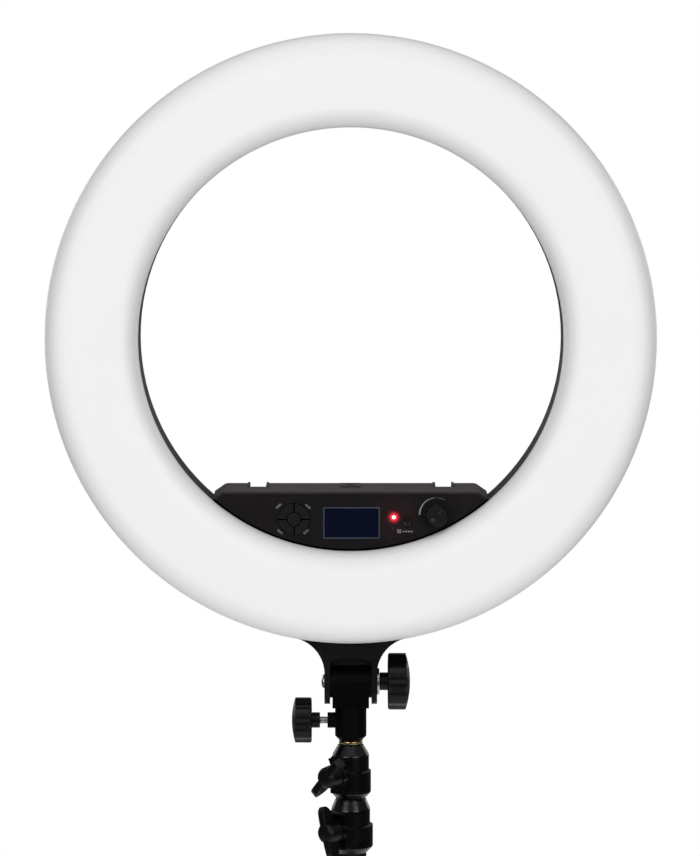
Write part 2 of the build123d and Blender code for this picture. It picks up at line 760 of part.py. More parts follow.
def wing_knob(height, turn, tube_radius, start):
    """A two-winged knob on its screw, pointing out along the boss."""
    wings = [
        (-9.0, 0.6), (-12.5, 0.9), (-19.8, 4.6), (-WING_REACH, 8.6), (-19.4, 12.6), (-10.0, 13.4),
        (10.0, 13.4), (19.4, 12.6), (WING_REACH, 8.6), (19.8, 4.6), (12.5, 0.9), (9.0, 0.6),
    ]
    blade = rounded_face(wings, ((2, 2.5), (3, 2.0), (4, 3.0), (7, 3.0), (8, 2.0), (9, 2.5)))
    body = Plane.XZ * extrude(blade, WING_THICK / 2, both=True)
    body = chamfer(body.faces().filter_by(Axis.Y).edges(), 1.0)
    hub = turned([(0, 0), (9.2, 0), (9.2, 3.5), (8.2, 13.0), (0, 14.4)], ((3, 2.5),))
    flutes = [place * rod(0.6, -1, 3.4) for place in PolarLocations(9.5, 24)]
    body = Pos(0, 0, start) * (hub - flutes + body)
    screw = rod(2.95, tube_radius + 0.35, start + 0.5)
    return STAND * wing_place(height) * Rot(0, 0, turn) * (body + screw)


# The folding legs


def leg_place(heading):
    return STAND * Rot(0, 0, heading)


def pivot_pin(x, z, grip):
    """A pin across a leg's plane, with a head outside each strip or lug."""
    pin = rod_y(PIN_RADIUS, -grip - 1.5, grip + 1.5, x, z)
    return pin + rod_y(4.4, grip, grip + 1.5, x, z) + rod_y(4.4, -grip - 1.5, -grip, x, z)


def leg(heading):
    """A round tube with a plugged top end, and the pin that its brace turns on."""
    bar = Rot(0, 180 - LEG_SPREAD, 0)
    body = rod(LEG_RADIUS, 0, LEG_LENGTH - 20) + Sphere(LEG_RADIUS)
    body -= rod(LEG_RADIUS - 1.2, 24, LEG_LENGTH)
    body -= rod_y(PIN_RADIUS + PIN_FIT, -20, 20)
    body -= rod_y(PIN_RADIUS + 0.05, -20, 20, 0, BRACE_LENGTH)
    pin = pivot_pin(0, BRACE_LENGTH, STRIP_INNER + STRIP_THICK + FIT)
    place = leg_place(heading) * Pos(PIVOT_RADIUS, 0, UPPER_PIVOT) * bar
    return [place * body, place * pin]


def brace(heading):
    """Two flat strips that straddle the leg."""
    face = Pos(BRACE_LENGTH / 2, 0) * SlotCenterToCenter(BRACE_LENGTH, STRIP_WIDE)
    face -= [Circle(PIN_RADIUS + PIN_FIT), Pos(BRACE_LENGTH, 0) * Circle(PIN_RADIUS + PIN_FIT)]
    strips = []
    for low in (STRIP_INNER, -STRIP_INNER - STRIP_THICK):
        strip = Rot(-90, 0, 0) * slab(face, low, low + STRIP_THICK)
        bar = Rot(0, LEG_SPREAD - 90, 0)
        strips.append(leg_place(heading) * Pos(PIVOT_RADIUS, 0, LOWER_PIVOT) * bar * strip)
    return strips


def foot(heading):
    """A rubber boot on the leg's end, flat where it stands."""
    boot = chamfer(rod(10.0, LEG_LENGTH - 42, LEG_LENGTH - 8).edges().group_by(Axis.Z)[-1], 2.0)
    boot -= rod(LEG_RADIUS + 0.02, LEG_LENGTH - 50, LEG_LENGTH - 20)
    placed = Pos(PIVOT_RADIUS, 0, UPPER_PIVOT) * Rot(0, 180 - LEG_SPREAD, 0) * boot
    ground = block((0, 600), (-50, 50), (-50, 0))
    return leg_place(heading) * (placed - ground)


LUG_INNER = 8.5
LUG_OUTER = 11.5


def upper_spider():
    """The sliding hub that the legs hang from."""
    hub = turned([(12.6, -12), (19, -12), (19, 24), (16, 27), (12.6, 27)], ((1, 2.0),))
    for heading in LEG_HEADINGS:
        for side in (-1, 1):
            lug = block((14, PIVOT_RADIUS), sorted((side * LUG_INNER, side * LUG_OUTER)), (-9, 9))
            lug += rod_y(9.0, *sorted((side * LUG_INNER, side * LUG_OUTER)), PIVOT_RADIUS, 0)
            lug -= rod_y(PIN_RADIUS + 0.02, -20, 20, PIVOT_RADIUS, 0)
            hub += Rot(0, 0, heading) * lug
    hub += rod_y(7.0, -25.0, -16.0, 0, 16.0)
    hub -= rod(12.6, -20, 40)
    return STAND * Pos(0, 0, UPPER_PIVOT) * (hub - rod_y(3.02, -30, 0, 0, 16.0))


def spider_knob():
    """A round knob and its screw, which lock the sliding hub to the base tube."""
    body = lobed_head(13.0, 11.0, 5, 2.0) + Pos(0, 0, -1.8) * Cylinder(6.0, 2.0, align=LOW)
    body += rod(2.95, -14.2, 1)
    return STAND * Pos(0, -27.2, UPPER_PIVOT + 16.0) * Rot(90, 0, 0) * body


def upper_pins():
    pin = pivot_pin(PIVOT_RADIUS, UPPER_PIVOT, LUG_OUTER)
    return [leg_place(heading) * pin for heading in LEG_HEADINGS]


def lower_spider():
    """The fixed hub at the foot of the base tube, with a tongue for each brace."""
    hub = turned([(0, -18.5), (17, -18.5), (19, -16.5), (19, 17), (17, 20), (0, 20)])
    for heading in LEG_HEADINGS:
        tongue = block((12, PIVOT_RADIUS), (-8, 8), (-7, 7)) + rod_y(7.0, -8, 8, PIVOT_RADIUS, 0)
        hub += Rot(0, 0, heading) * (tongue - rod_y(PIN_RADIUS + 0.02, -20, 20, PIVOT_RADIUS, 0))
    hub -= rod(BASE_TUBE + 0.03, BASE_FOOT - LOWER_PIVOT, 40)
    return STAND * Pos(0, 0, LOWER_PIVOT) * (hub - rod(8.0, -30, 0))


def lower_pins():
    pin = pivot_pin(PIVOT_RADIUS, LOWER_PIVOT, STRIP_INNER + STRIP_THICK + FIT)
    return [leg_place(heading) * pin for heading in LEG_HEADINGS]


def base_cap():
    """A soft plug under the lower hub."""
    foot_height = LOWER_PIVOT - 18.5
    return STAND * (rod(7.95, foot_height, BASE_FOOT) + rod(11.0, foot_height - 3.0, foot_height))


# Writing every node

HEAD_PIECES = {
    "rear_housing": rear_housing,
    "rear_cover": rear_cover,
    "cover_screws": cover_screws,
    "thread_insert": thread_insert,
    "led_board": led_board,
    "led_emitters": led_emitters,
    "board_screws": board_screws,
    "diffuser": diffuser,
    "front_panel": front_panel,
    "screen_window": screen_window,
    "screen_module": screen_module,
    "control_board": control_board,
    "indicator_lamps": indicator_lamps,
    "dimmer_encoder": dimmer_encoder,
    "dimmer_knob": dimmer_knob,
    "centre_button": centre_button,
    "mode_button": mode_button,
    "power_inlet": power_inlet,
    "power_switch": power_switch,
    "battery_contacts": battery_contacts,
    "driver_board": driver_board,
    "tilt_fork": tilt_fork,
    "fork_screws": fork_screws,
    "tilt_bolt": tilt_bolt,
    "tilt_washer": tilt_washer,
    "tilt_knob": tilt_knob,
}

STAND_PIECES = {
    "socket_body": socket_body,
    "clamp_screw": clamp_screw,
    "clamp_knob": clamp_knob,
    "spigot": spigot,
    "inner_tube": inner_tube,
    "middle_tube": middle_tube,
    "base_tube": base_tube,
    "upper_collar": upper_collar,
    "lower_collar": lower_collar,
    "upper_spider": upper_spider,
    "spider_knob": spider_knob,
    "upper_pins": upper_pins,
    "lower_spider": lower_spider,
    "lower_pins": lower_pins,
    "base_cap": base_cap,
}


def as_list(made):
    return list(made) if isinstance(made, (list, tuple)) else [made]


os.makedirs("parts", exist_ok=True)

for name, maker in HEAD_PIECES.items():
    save(name, *[FACE * piece for piece in as_list(maker())])

for index in range(4):
    save(f"arc_button_{index + 1}", FACE * arc_button(index))

for side, word in ((-1, "left"), (1, "right")):
    save(f"battery_plate_{word}", FACE * battery_plate(side))
    save(f"battery_latch_{word}", FACE * battery_latch(side))

for name, maker in STAND_PIECES.items():
    save(name, *as_list(maker()))

save("upper_wing_knob", wing_knob(drop(UPPER_WING_DROP), UPPER_WING_TURN, INNER_TUBE, 19.6))
save("lower_wing_knob", wing_knob(drop(LOWER_WING_DROP), LOWER_WING_TURN, MIDDLE_TUBE, 19.4))

for index, heading in enumerate(LEG_HEADINGS, start=1):
    save(f"leg_{index}", *leg(heading))
    save(f"brace_{index}", *brace(heading))
    save(f"foot_{index}", foot(heading))
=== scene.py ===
"""A ring light on its folding stand: its surfaces, fine shapes, light and camera."""
import logging
from collections.abc import Iterable, Sequence
from dataclasses import dataclass
from enum import Enum
from math import cos, hypot, pi, radians, sin, sqrt, tau

import bmesh
import bpy
from mathutils import Euler, Matrix, Vector


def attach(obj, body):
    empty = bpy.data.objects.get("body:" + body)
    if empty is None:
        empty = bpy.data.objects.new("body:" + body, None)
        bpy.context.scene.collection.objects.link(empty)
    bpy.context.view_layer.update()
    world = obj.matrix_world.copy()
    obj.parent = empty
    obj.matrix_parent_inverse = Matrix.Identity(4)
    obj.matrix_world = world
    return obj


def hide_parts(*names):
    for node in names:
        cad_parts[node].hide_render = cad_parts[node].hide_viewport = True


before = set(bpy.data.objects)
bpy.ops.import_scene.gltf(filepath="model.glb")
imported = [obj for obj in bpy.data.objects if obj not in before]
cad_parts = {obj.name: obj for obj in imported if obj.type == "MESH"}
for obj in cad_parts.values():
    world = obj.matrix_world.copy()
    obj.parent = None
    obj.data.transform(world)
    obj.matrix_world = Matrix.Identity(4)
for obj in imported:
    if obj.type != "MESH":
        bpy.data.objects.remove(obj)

LOG = logging.getLogger("ring_light")
MM = 0.001
COLUMN_Y = -116.027
RING_HEIGHT = 1020.0
RING_SETBACK = 7.0
SHARP = 32.0

Colour = tuple[float, float, float]
Point = tuple[float, float, float]
Corner = tuple[float, float]
Socket = bpy.types.NodeSocket

# The red lamp's middle, on the ring's face
RED_LAMP: Corner = (33.9, -139.8)

# The frame of the ring's face: X right, Y up, Z the way the light shines
FACE = Matrix.Translation((0, COLUMN_Y - RING_SETBACK, RING_HEIGHT)) @ Matrix.Rotation(pi / 2, 4, "X")
STAND = Matrix.Translation((0, COLUMN_Y, 0))
ROW = Matrix.Identity(4)


class Slot(Enum):
    """The record's material slots, which the pieces are handed but don't use."""

    HOUSING = "housing"
    DIFFUSER = "diffuser"
    PANEL = "panel"
    WINDOW = "window"
    LAMP = "lamp"
    BUTTON = "button"
    STEEL = "steel"
    BRASS = "brass"
    CASTING = "casting"
    KNOB = "knob"
    TUBE = "tube"
    COLLAR = "collar"
    RUBBER = "rubber"
    COMPONENT = "component"


def on_face(spot: Corner, height: float = 0.0) -> Point:
    """A point over the ring's face, in metres in the row's frame."""
    return tuple(FACE @ Vector((*spot, height)) * MM)


def raised(height: float) -> Matrix:
    """A move along Z."""
    return Matrix.Translation((0, 0, height))


# Materials


def tinted(colour: Colour, factor: float) -> Colour:
    """A colour made lighter or darker."""
    return (colour[0] * factor, colour[1] * factor, colour[2] * factor)


class Graph:
    """A tree of shader nodes, with short calls for what its users share."""

    def __init__(self, tree: bpy.types.NodeTree) -> None:
        """Takes a tree over."""
        self.tree = tree

    def fill(self, socket: Socket, value: object) -> None:
        """Links a socket, or sets its value."""
        if isinstance(value, Socket):
            self.tree.links.new(value, socket)
        else:
            socket.default_value = value

    def node(self, kind: str, inputs: dict[str | int, object] | None = None,
             **settings: object) -> bpy.types.Node:
        """Adds a node.

        Args:
            kind: The node's type name, without its ShaderNode prefix.
            inputs: Values or links by socket name or number.
            settings: The node's own options.

        Returns:
            The new node.
        """
        made = self.tree.nodes.new(f"ShaderNode{kind}")
        for option, value in settings.items():
            setattr(made, option, value)
        for socket, value in (inputs or {}).items():
            self.fill(made.inputs[socket], value)
        return made

    def combine(self, operation: str, first: Socket, second: Socket | float) -> Socket:
        """Two numbers joined by one arithmetic operation."""
        return self.node("Math", {0: first, 1: second}, operation=operation).outputs[0]

    def spread(self, value: Socket, span: Corner, result: Corner) -> Socket:
        """A value's span stretched over another one, and clamped."""
        inputs = {"Value": value, "From Min": span[0], "From Max": span[1],
                  "To Min": result[0], "To Max": result[1]}
        return self.node("MapRange", inputs).outputs["Result"]


class Recipe(Graph):
    """The nodes round one material's shader."""

    def __init__(self, finish: "Finish") -> None:
        """Starts a finish's material with its plain colour, roughness and shine."""
        self.material = bpy.data.materials.new(finish.name)
        self.material.use_nodes = True
        super().__init__(self.material.node_tree)
        self.colour = finish.colour
        self.shader = self.tree.nodes["Principled BSDF"]
        coordinates = self.node("TexCoord").outputs
        self.place = coordinates["Object"]
        self.facing = coordinates["Normal"]
        self.set("Base Color", (*finish.colour, 1.0))
        self.set("Roughness", finish.roughness)
        self.set("Specular IOR Level", finish.specular)

    def set(self, socket: str, value: object) -> None:
        """Sets or links one of the shader's sockets."""
        self.fill(self.shader.inputs[socket], value)

    def mapped(self, centre: Point = (0, 0, 0), turn: Point = (0, 0, 0),
               stretch: Point = (1, 1, 1)) -> Socket:
        """The object's own coordinates, centred, turned and stretched.

        Args:
            centre: The pattern's middle, in metres.
            turn: The pattern's Euler angles.
            stretch: How much longer the pattern is along each of its axes.

        Returns:
            The coordinates' socket.
        """
        inputs = {"Vector": self.place, "Location": centre, "Rotation": turn, "Scale": stretch}
        return self.node("Mapping", inputs, vector_type="TEXTURE").outputs["Vector"]

    def distance(self, place: Socket) -> Socket:
        """How far a point is from the pattern's middle, across its Z axis, in metres."""
        flat = self.node("VectorMath", {0: place, 1: (1, 1, 0)}, operation="MULTIPLY")
        return self.node("VectorMath", {0: flat.outputs["Vector"]}, operation="LENGTH").outputs["Value"]

    def round_face(self, centre: Point) -> Socket:
        """How far a point is from a line through centre that runs the way the light shines."""
        return self.distance(self.mapped(centre, (pi / 2, 0, 0)))

    def noise(self, size_mm: float, detail: float = 3.0, place: Socket | None = None) -> Socket:
        """Soft noise whose patches are about size_mm across."""
        inputs = {"Vector": place or self.place, "Scale": 1000.0 / size_mm, "Detail": detail}
        return self.node("TexNoise", inputs).outputs["Fac"]

    def patches(self, size_mm: float, detail: float = 3.0, span: Corner = (0.3, 0.7),
                result: Corner = (0.0, 1.0), place: Socket | None = None) -> Socket:
        """Noise with more contrast.

        Args:
            size_mm: How large its patches are.
            detail: How ragged their edges are.
            span: The part of the noise that is stretched.
            result: The lowest and the highest level that it is stretched to.
            place: The coordinates, if they aren't the object's own.

        Returns:
            The patches' socket.
        """
        return self.spread(self.noise(size_mm, detail, place), span, result)

    def colours(self, factor: Socket, low: Colour | Socket, high: Colour) -> Socket:
        """A blend from a colour, or from one that varies already, to a plain one."""
        start = low if isinstance(low, Socket) else (*low, 1.0)
        return self.node("Mix", {0: factor, 6: start, 7: (*high, 1.0)}, data_type="RGBA").outputs[2]

    def rub(self, factor: Socket, strength: float) -> None:
        """Multiplies the plain colour by strength where factor is 1."""
        self.set("Base Color", self.colours(factor, self.colour, tinted(self.colour, strength)))

    def dust_and_lit_tops(self) -> Socket:
        """Where dust and painted light lie on a surface: patchy, and only where it faces up."""
        up = self.node("SeparateXYZ", {0: self.facing}).outputs["Z"]
        level = self.spread(up, (0.75, 0.98), (0.0, 1.0))
        return self.combine("MULTIPLY", level, self.patches(16.0, 5.0, result=(0.75, 1.0)))

    def bump(self, height: Socket, depth_mm: float, strength: float = 1.0) -> None:
        """Raises the surface by a pattern, over any bump it already has."""
        inputs = {"Height": height, "Distance": depth_mm * MM, "Strength": strength}
        normal = self.shader.inputs["Normal"]
        if normal.is_linked:
            inputs["Normal"] = normal.links[0].from_socket
        self.set("Normal", self.node("Bump", inputs).outputs["Normal"])


@dataclass(frozen=True)
class Finish:
    """What a piece is made of: a plain shader, which each kind of finish dresses."""

    name: str
    colour: Colour
    roughness: float = 0.5
    specular: float = 0.5

    def dress(self, recipe: Recipe) -> None:
        """Adds the finish's patterns to its material."""

    def material(self) -> bpy.types.Material:
        """The finish's material, made once."""
        found = bpy.data.materials.get(self.name)
        if found:
            return found
        recipe = Recipe(self)
        self.dress(recipe)
        return recipe.material


@dataclass(frozen=True)
class MouldedPlastic(Finish):
    """Matt plastic out of a spark-textured mould."""

    specular: float = 0.35
    grain_mm: float = 0.35
    depth_mm: float = 0.02
    # How much lighter faces that point up are made: partly dust, partly painted light from above
    dust_and_light_lift: float = 1.0

    def dress(self, recipe: Recipe) -> None:
        """Adds fine grain, slow changes of sheen, and a trace of dust with painted light on faces that point
        up.
        """
        sheen = (self.roughness - 0.07, self.roughness + 0.07)
        recipe.set("Roughness", recipe.patches(55.0, 2.0, result=sheen))
        shade = recipe.colours(recipe.patches(9.0, 6.0, (0.52, 0.75)), self.colour, tinted(self.colour, 1.35))
        # Faces that point up are made lighter: partly dust, partly painted light from above
        recipe.set("Base Color", recipe.colours(recipe.dust_and_lit_tops(), shade, tinted(self.colour, self.dust_and_light_lift)))
        recipe.bump(recipe.noise(self.grain_mm, 2.0), self.depth_mm)


@dataclass(frozen=True)
class MilkyShell(Finish):
    """Opal acrylic that spreads the light of the board behind it."""

    name: str = "opal_acrylic"
    colour: Colour = (0.86, 0.86, 0.862)
    roughness: float = 0.42
    specular: float = 0.4
    inner: float = 0.1668
    outer: float = 0.240
    glow: float = 0.15

    def dress(self, recipe: Recipe) -> None:
        """Adds a soft glow over the band, which fades at both rolled edges."""
        radius = recipe.round_face(on_face((0, 0)))
        rise = recipe.spread(radius, (self.inner, self.inner + 0.016), (0.0, 1.0))
        fall = recipe.spread(radius, (self.outer - 0.020, self.outer), (1.0, 0.0))
        cloud = recipe.patches(60.0, 1.0, result=(0.985, 1.0))
        glow = recipe.combine("MULTIPLY", recipe.combine("MULTIPLY", rise, fall), cloud)
        recipe.set("Emission Color", (1.0, 1.0, 1.0, 1.0))
        recipe.set("Emission Strength", recipe.spread(glow, (0.0, 1.0), (0.0, self.glow)))
        recipe.set("Base Color", recipe.colours(cloud, tinted(self.colour, 0.97), self.colour))
        recipe.set("Roughness", recipe.patches(20.0, result=(0.38, 0.46)))
        recipe.bump(recipe.noise(0.8, 2.0), 0.012)


@dataclass(frozen=True)
class GlossSheet(Finish):
    """Black gloss sheet with a faint ripple, hair scratches, the red lamp's light on it and a painted shadow
    round its foot.
    """

    name: str = "gloss_panel"
    colour: Colour = (0.0105, 0.0090, 0.0100)
    roughness: float = 0.2
    specular: float = 0.3
    lamp: Corner = RED_LAMP
    lamp_light: Colour = (1.0, 0.03, 0.055)
    # Where the painted shadow in the gap round the panel's foot starts, from the ring's middle
    gap_shadow: float = 0.1652
    gap_shadow_colour: Colour = (0.001, 0.001, 0.001)

    def dress(self, recipe: Recipe) -> None:
        """Adds the lamp's light, the scratches, and a painted shadow in the gap round the foot."""
        radius = recipe.round_face(on_face(self.lamp))
        near = self.fall(recipe, radius, reach_mm=7.0, power=3.5, strength=4.2)
        far = self.fall(recipe, radius, reach_mm=26.0, power=2.0, strength=0.016)
        recipe.set("Emission Color", (*self.lamp_light, 1.0))
        recipe.set("Emission Strength", recipe.combine("ADD", near, far))
        along = recipe.mapped(turn=(0, 0.5, 0), stretch=(30, 1, 1))
        recipe.set("Roughness", recipe.patches(0.5, 4.0, (0.35, 0.8), (0.16, 0.3), along))
        smear = recipe.patches(24.0, 3.0, (0.4, 0.75))
        sheet = recipe.colours(smear, self.colour, tinted(self.colour, 1.5))
        # Painted shadow: a black band with no reflection where the panel's foot meets the opal front
        foot = recipe.round_face(on_face((0, 0)))
        gap_shadow = recipe.spread(foot, (self.gap_shadow - 0.5 * MM, self.gap_shadow), (0.0, 1.0))
        recipe.set("Base Color", recipe.colours(gap_shadow, sheet, self.gap_shadow_colour))
        recipe.set("Specular IOR Level", recipe.spread(gap_shadow, (0.0, 1.0), (self.specular, 0.0)))
        recipe.bump(recipe.noise(7.0, 1.0), 0.02)

    def fall(self, recipe: Recipe, radius: Socket, reach_mm: float, power: float, strength: float) -> Socket:
        """Light that falls off from the lamp's middle.

        Args:
            recipe: The material being made.
            radius: The distance from the lamp's middle.
            reach_mm: Where the light ends.
            power: How steeply it falls.
            strength: Its strength in the middle.

        Returns:
            The light's socket.
        """
        left = recipe.spread(radius, (0.0, reach_mm * MM), (1.0, 0.0))
        return recipe.combine("MULTIPLY", recipe.combine("POWER", left, power), strength)


@dataclass(frozen=True)
class DisplayGlass(Finish):
    """An unlit display behind its window: deep blue, with its rows of dots just in sight."""

    name: str = "display_glass"
    colour: Colour = (0.0019, 0.0030, 0.0128)
    roughness: float = 0.14
    specular: float = 0.35
    dot_colour: Colour = (0.0032, 0.0056, 0.026)
    pitch_mm: float = 0.55

    def dress(self, recipe: Recipe) -> None:
        """Adds the dots, in soft clouds."""
        # At this scale a wave repeats once in each pitch
        inputs = {"Vector": recipe.place, "Scale": 314.0 / self.pitch_mm}
        rows, columns = [
            recipe.node("TexWave", inputs, wave_type="BANDS", bands_direction=axis).outputs["Fac"]
            for axis in "ZX"
        ]
        dots = recipe.combine("MULTIPLY", rows, columns)
        lit = recipe.combine("MULTIPLY", dots, recipe.patches(14.0, 1.0, (0.35, 0.65), (0.5, 1.0)))
        recipe.set("Base Color", recipe.colours(lit, self.colour, self.dot_colour))
        recipe.set("Roughness", recipe.patches(9.0, result=(0.11, 0.18)))


@dataclass(frozen=True, kw_only=True)
class LampLens(Finish):
    """A small lamp, white-hot in the middle when it is lit."""

    roughness: float = 0.22
    centre: Point
    radius_mm: float
    strength: float
    core_light: Colour = (1.0, 0.70, 0.52)
    edge_light: Colour = (0.9, 0.02, 0.03)

    def dress(self, recipe: Recipe) -> None:
        """Adds the lamp's light, hottest in the middle."""
        radius = recipe.round_face(self.centre)
        size = self.radius_mm * MM
        edge = recipe.spread(radius, (0.5 * size, 1.05 * size), (0.0, 1.0))
        recipe.set("Emission Color", recipe.colours(edge, self.core_light, self.edge_light))
        glow = recipe.spread(edge, (0.0, 1.0), (self.strength, self.strength * 0.3))
        ripple = recipe.patches(0.7, 2.0, result=(0.9, 1.0))
        recipe.set("Emission Strength", recipe.combine("MULTIPLY", glow, ripple))


@dataclass(frozen=True)
class Ink(Finish):
    """Thin print with slightly uneven cover."""

    specular: float = 0.3

    def dress(self, recipe: Recipe) -> None:
        """Adds thin places and the print's own thickness."""
        cover = recipe.patches(0.45, 3.0, (0.35, 0.6))
        recipe.set("Base Color", recipe.colours(cover, tinted(self.colour, 0.6), self.colour))
        recipe.bump(recipe.noise(0.3), 0.008)


@dataclass(frozen=True)
class CastCoat(Finish):
    """Satin black coat over cast metal, with the pebble of powder coating."""

    name: str = "coated_casting"
    colour: Colour = (0.0034, 0.0026, 0.0028)
    roughness: float = 0.42
    specular: float = 0.17

    def dress(self, recipe: Recipe) -> None:
        """Adds the pebble, the casting's slow waves and rubbed spots."""
        recipe.bump(recipe.noise(1.1, 2.0), 0.05)
        recipe.bump(recipe.noise(14.0, 1.0), 0.12)
        recipe.set("Roughness", recipe.patches(30.0, result=(0.36, 0.5)))
        recipe.rub(recipe.patches(2.2, 5.0, (0.66, 0.8)), 3.0)


@dataclass(frozen=True)
class KnobPlastic(Finish):
    """Satin moulding worn a little smoother and greyer where hands hold it."""

    name: str = "knob_plastic"
    colour: Colour = (0.0018, 0.0013, 0.0015)
    roughness: float = 0.3
    specular: float = 0.25

    def dress(self, recipe: Recipe) -> None:
        """Adds the handled places, fine grain and slanting scratches."""
        handled = recipe.patches(10.0, 4.0, (0.45, 0.7))
        recipe.rub(handled, 1.7)
        sheen = (self.roughness + 0.06, self.roughness - 0.07)
        recipe.set("Roughness", recipe.spread(handled, (0.0, 1.0), sheen))
        recipe.bump(recipe.noise(0.4, 2.0), 0.014)
        slanted = recipe.mapped(turn=(0.4, 0.7, 0.2), stretch=(14, 1, 1))
        recipe.bump(recipe.patches(0.8, 5.0, (0.62, 0.7), place=slanted), 0.01, 0.6)


@dataclass(frozen=True)
class DrawnTube(Finish):
    """Black anodised tube with faint draw lines along it."""

    colour: Colour = (0.0016, 0.0013, 0.0016)
    roughness: float = 0.26
    specular: float = 0.45
    turn: Point = (0, 0, 0)

    def dress(self, recipe: Recipe) -> None:
        """Adds the draw lines, and rubbed streaks along them."""
        along = recipe.mapped(turn=self.turn, stretch=(1, 1, 90))
        lines = recipe.noise(0.5, 3.0, along)
        recipe.set("Roughness", recipe.spread(lines, (0.3, 0.7), (0.2, 0.34)))
        recipe.bump(lines, 0.01)
        recipe.rub(recipe.patches(1.6, 5.0, (0.6, 0.75), place=along), 2.2)


@dataclass(frozen=True)
class GlossMoulding(Finish):
    """Glossy black moulding with a soft orange-peel skin."""

    name: str = "gloss_moulding"
    colour: Colour = (0.0009, 0.0007, 0.0009)
    roughness: float = 0.2
    specular: float = 0.4

    def dress(self, recipe: Recipe) -> None:
        """Adds the orange peel, uneven gloss and small scuffs."""
        recipe.bump(recipe.noise(3.0, 1.0), 0.035)
        recipe.set("Roughness", recipe.patches(12.0, 4.0, result=(0.14, 0.26)))
        recipe.rub(recipe.patches(1.3, 6.0, (0.62, 0.78)), 2.4)


@dataclass(frozen=True)
class BareMetal(Finish):
    """Plated or bare metal with fine tool lines and small dull spots."""

    roughness: float = 0.26

    def dress(self, recipe: Recipe) -> None:
        """Adds the tool lines and the dull spots."""
        recipe.set("Metallic", 1.0)
        recipe.bump(recipe.noise(0.25, 2.0, recipe.mapped(stretch=(1, 1, 0.3))), 0.006)
        spots = recipe.patches(2.5, 5.0, (0.5, 0.75))
        recipe.set("Roughness", recipe.spread(spots, (0.0, 1.0), (self.roughness, self.roughness + 0.18)))
        recipe.rub(spots, 0.7)


@dataclass(frozen=True)
class Rubber(Finish):
    """Matt black rubber with a dusty bloom."""

    name: str = "black_rubber"
    colour: Colour = (0.012, 0.012, 0.012)
    roughness: float = 0.8
    specular: float = 0.3

    def dress(self, recipe: Recipe) -> None:
        """Adds the bloom and a fine grain."""
        bloom = recipe.patches(6.0, 6.0, (0.45, 0.75))
        recipe.rub(bloom, 2.0)
        recipe.set("Roughness", recipe.spread(bloom, (0.0, 1.0), (0.72, 0.9)))
        recipe.bump(recipe.noise(0.5, 4.0), 0.03)


@dataclass(frozen=True)
class CircuitBoard(Finish):
    """Solder mask over copper tracks."""

    name: str = "circuit_board"
    colour: Colour = (0.012, 0.075, 0.035)
    roughness: float = 0.35
    track_colour: Colour = (0.03, 0.16, 0.07)

    def dress(self, recipe: Recipe) -> None:
        """Adds the tracks, which stand a little proud."""
        inputs = {
            "Vector": recipe.mapped(turn=(pi / 2, 0, 0)), "Scale": 90.0, "Mortar Size": 0.035,
            "Color1": (0, 0, 0, 1), "Color2": (0, 0, 0, 1), "Mortar": (1, 1, 1, 1),
        }
        tracks = recipe.node("TexBrick", inputs).outputs["Color"]
        recipe.set("Base Color", recipe.colours(tracks, self.colour, self.track_colour))
        recipe.set("Roughness", recipe.patches(8.0, result=(0.28, 0.42)))
        recipe.bump(tracks, 0.03)


@dataclass(frozen=True)
class Phosphor(Finish):
    """The yellow caps of surface-mounted emitters."""

    name: str = "phosphor"
    colour: Colour = (0.72, 0.5, 0.11)

    def dress(self, recipe: Recipe) -> None:
        """Adds the grains."""
        grains = recipe.patches(0.3, 4.0, (0.4, 0.65))
        recipe.set("Base Color", recipe.colours(grains, tinted(self.colour, 0.8), self.colour))
        recipe.bump(grains, 0.01)


@dataclass(frozen=True)
class FloorPaint(Finish):
    """The studio's white floor, solid in the middle and clear at its edge."""

    name: str = "studio_floor"
    colour: Colour = (0.92, 0.92, 0.92)
    roughness: float = 0.9
    specular: float = 0.1
    radius: float = 1.7
    lift: float = 0.22

    def dress(self, recipe: Recipe) -> None:
        """Adds the clear edge, and lifts the floor's tone towards the white surround."""
        span = (0.6 * self.radius, 0.98 * self.radius)
        recipe.set("Alpha", recipe.spread(recipe.distance(recipe.place), span, (1.0, 0.0)))
        recipe.set("Emission Color", (1.0, 1.0, 1.0, 1.0))
        recipe.set("Emission Strength", self.lift)
        recipe.bump(recipe.noise(4.0), 0.05)


# The housing's faces that point up are painted 3.7 times lighter: partly dust, partly painted light from
# above
HOUSING_PLASTIC = MouldedPlastic("housing_plastic", (0.0240, 0.0188, 0.0192), 0.5, 0.22, dust_and_light_lift=3.7)
INNER_PLASTIC = MouldedPlastic("fitting_plastic", (0.017, 0.017, 0.018), 0.42, grain_mm=0.5)
KEY_PLASTIC = MouldedPlastic("key_plastic", (0.0058, 0.0053, 0.0058), 0.4, 0.22, 0.25, 0.01)
MODE_PLASTIC = MouldedPlastic("mode_key_plastic", (0.0078, 0.0045, 0.0055), 0.4, 0.2, 0.25, 0.01)
DIMMER_PLASTIC = KnobPlastic("dimmer_plastic", (0.0055, 0.0048, 0.0052), 0.4, 0.22)
# A darker copy of the casting coat: painted shade on the socket's neck under the ring
SHADED_SOCKET_COAT = CastCoat("socket_coat_painted_shade", (0.0014, 0.0010, 0.0011), specular=0.06)
STEEL = BareMetal("zinc_steel", (0.60, 0.60, 0.62))
BRASS = BareMetal("polished_brass", (0.72, 0.52, 0.27), 0.14)
PALE_INK = Ink("pale_print", (0.26, 0.26, 0.27))
DIAL_INK = Ink("dial_print", (0.36, 0.36, 0.37))
FRAME_INK = Ink("screen_edge_print", (0.044, 0.068, 0.098))
DIMPLE_INK = Ink("dimple_worn", (0.036, 0.032, 0.034))
INDEX_INK = Ink("index_print", (0.055, 0.053, 0.056))
ROCKER_INK = Ink("rocker_print", (0.6, 0.6, 0.6))


# Shapes


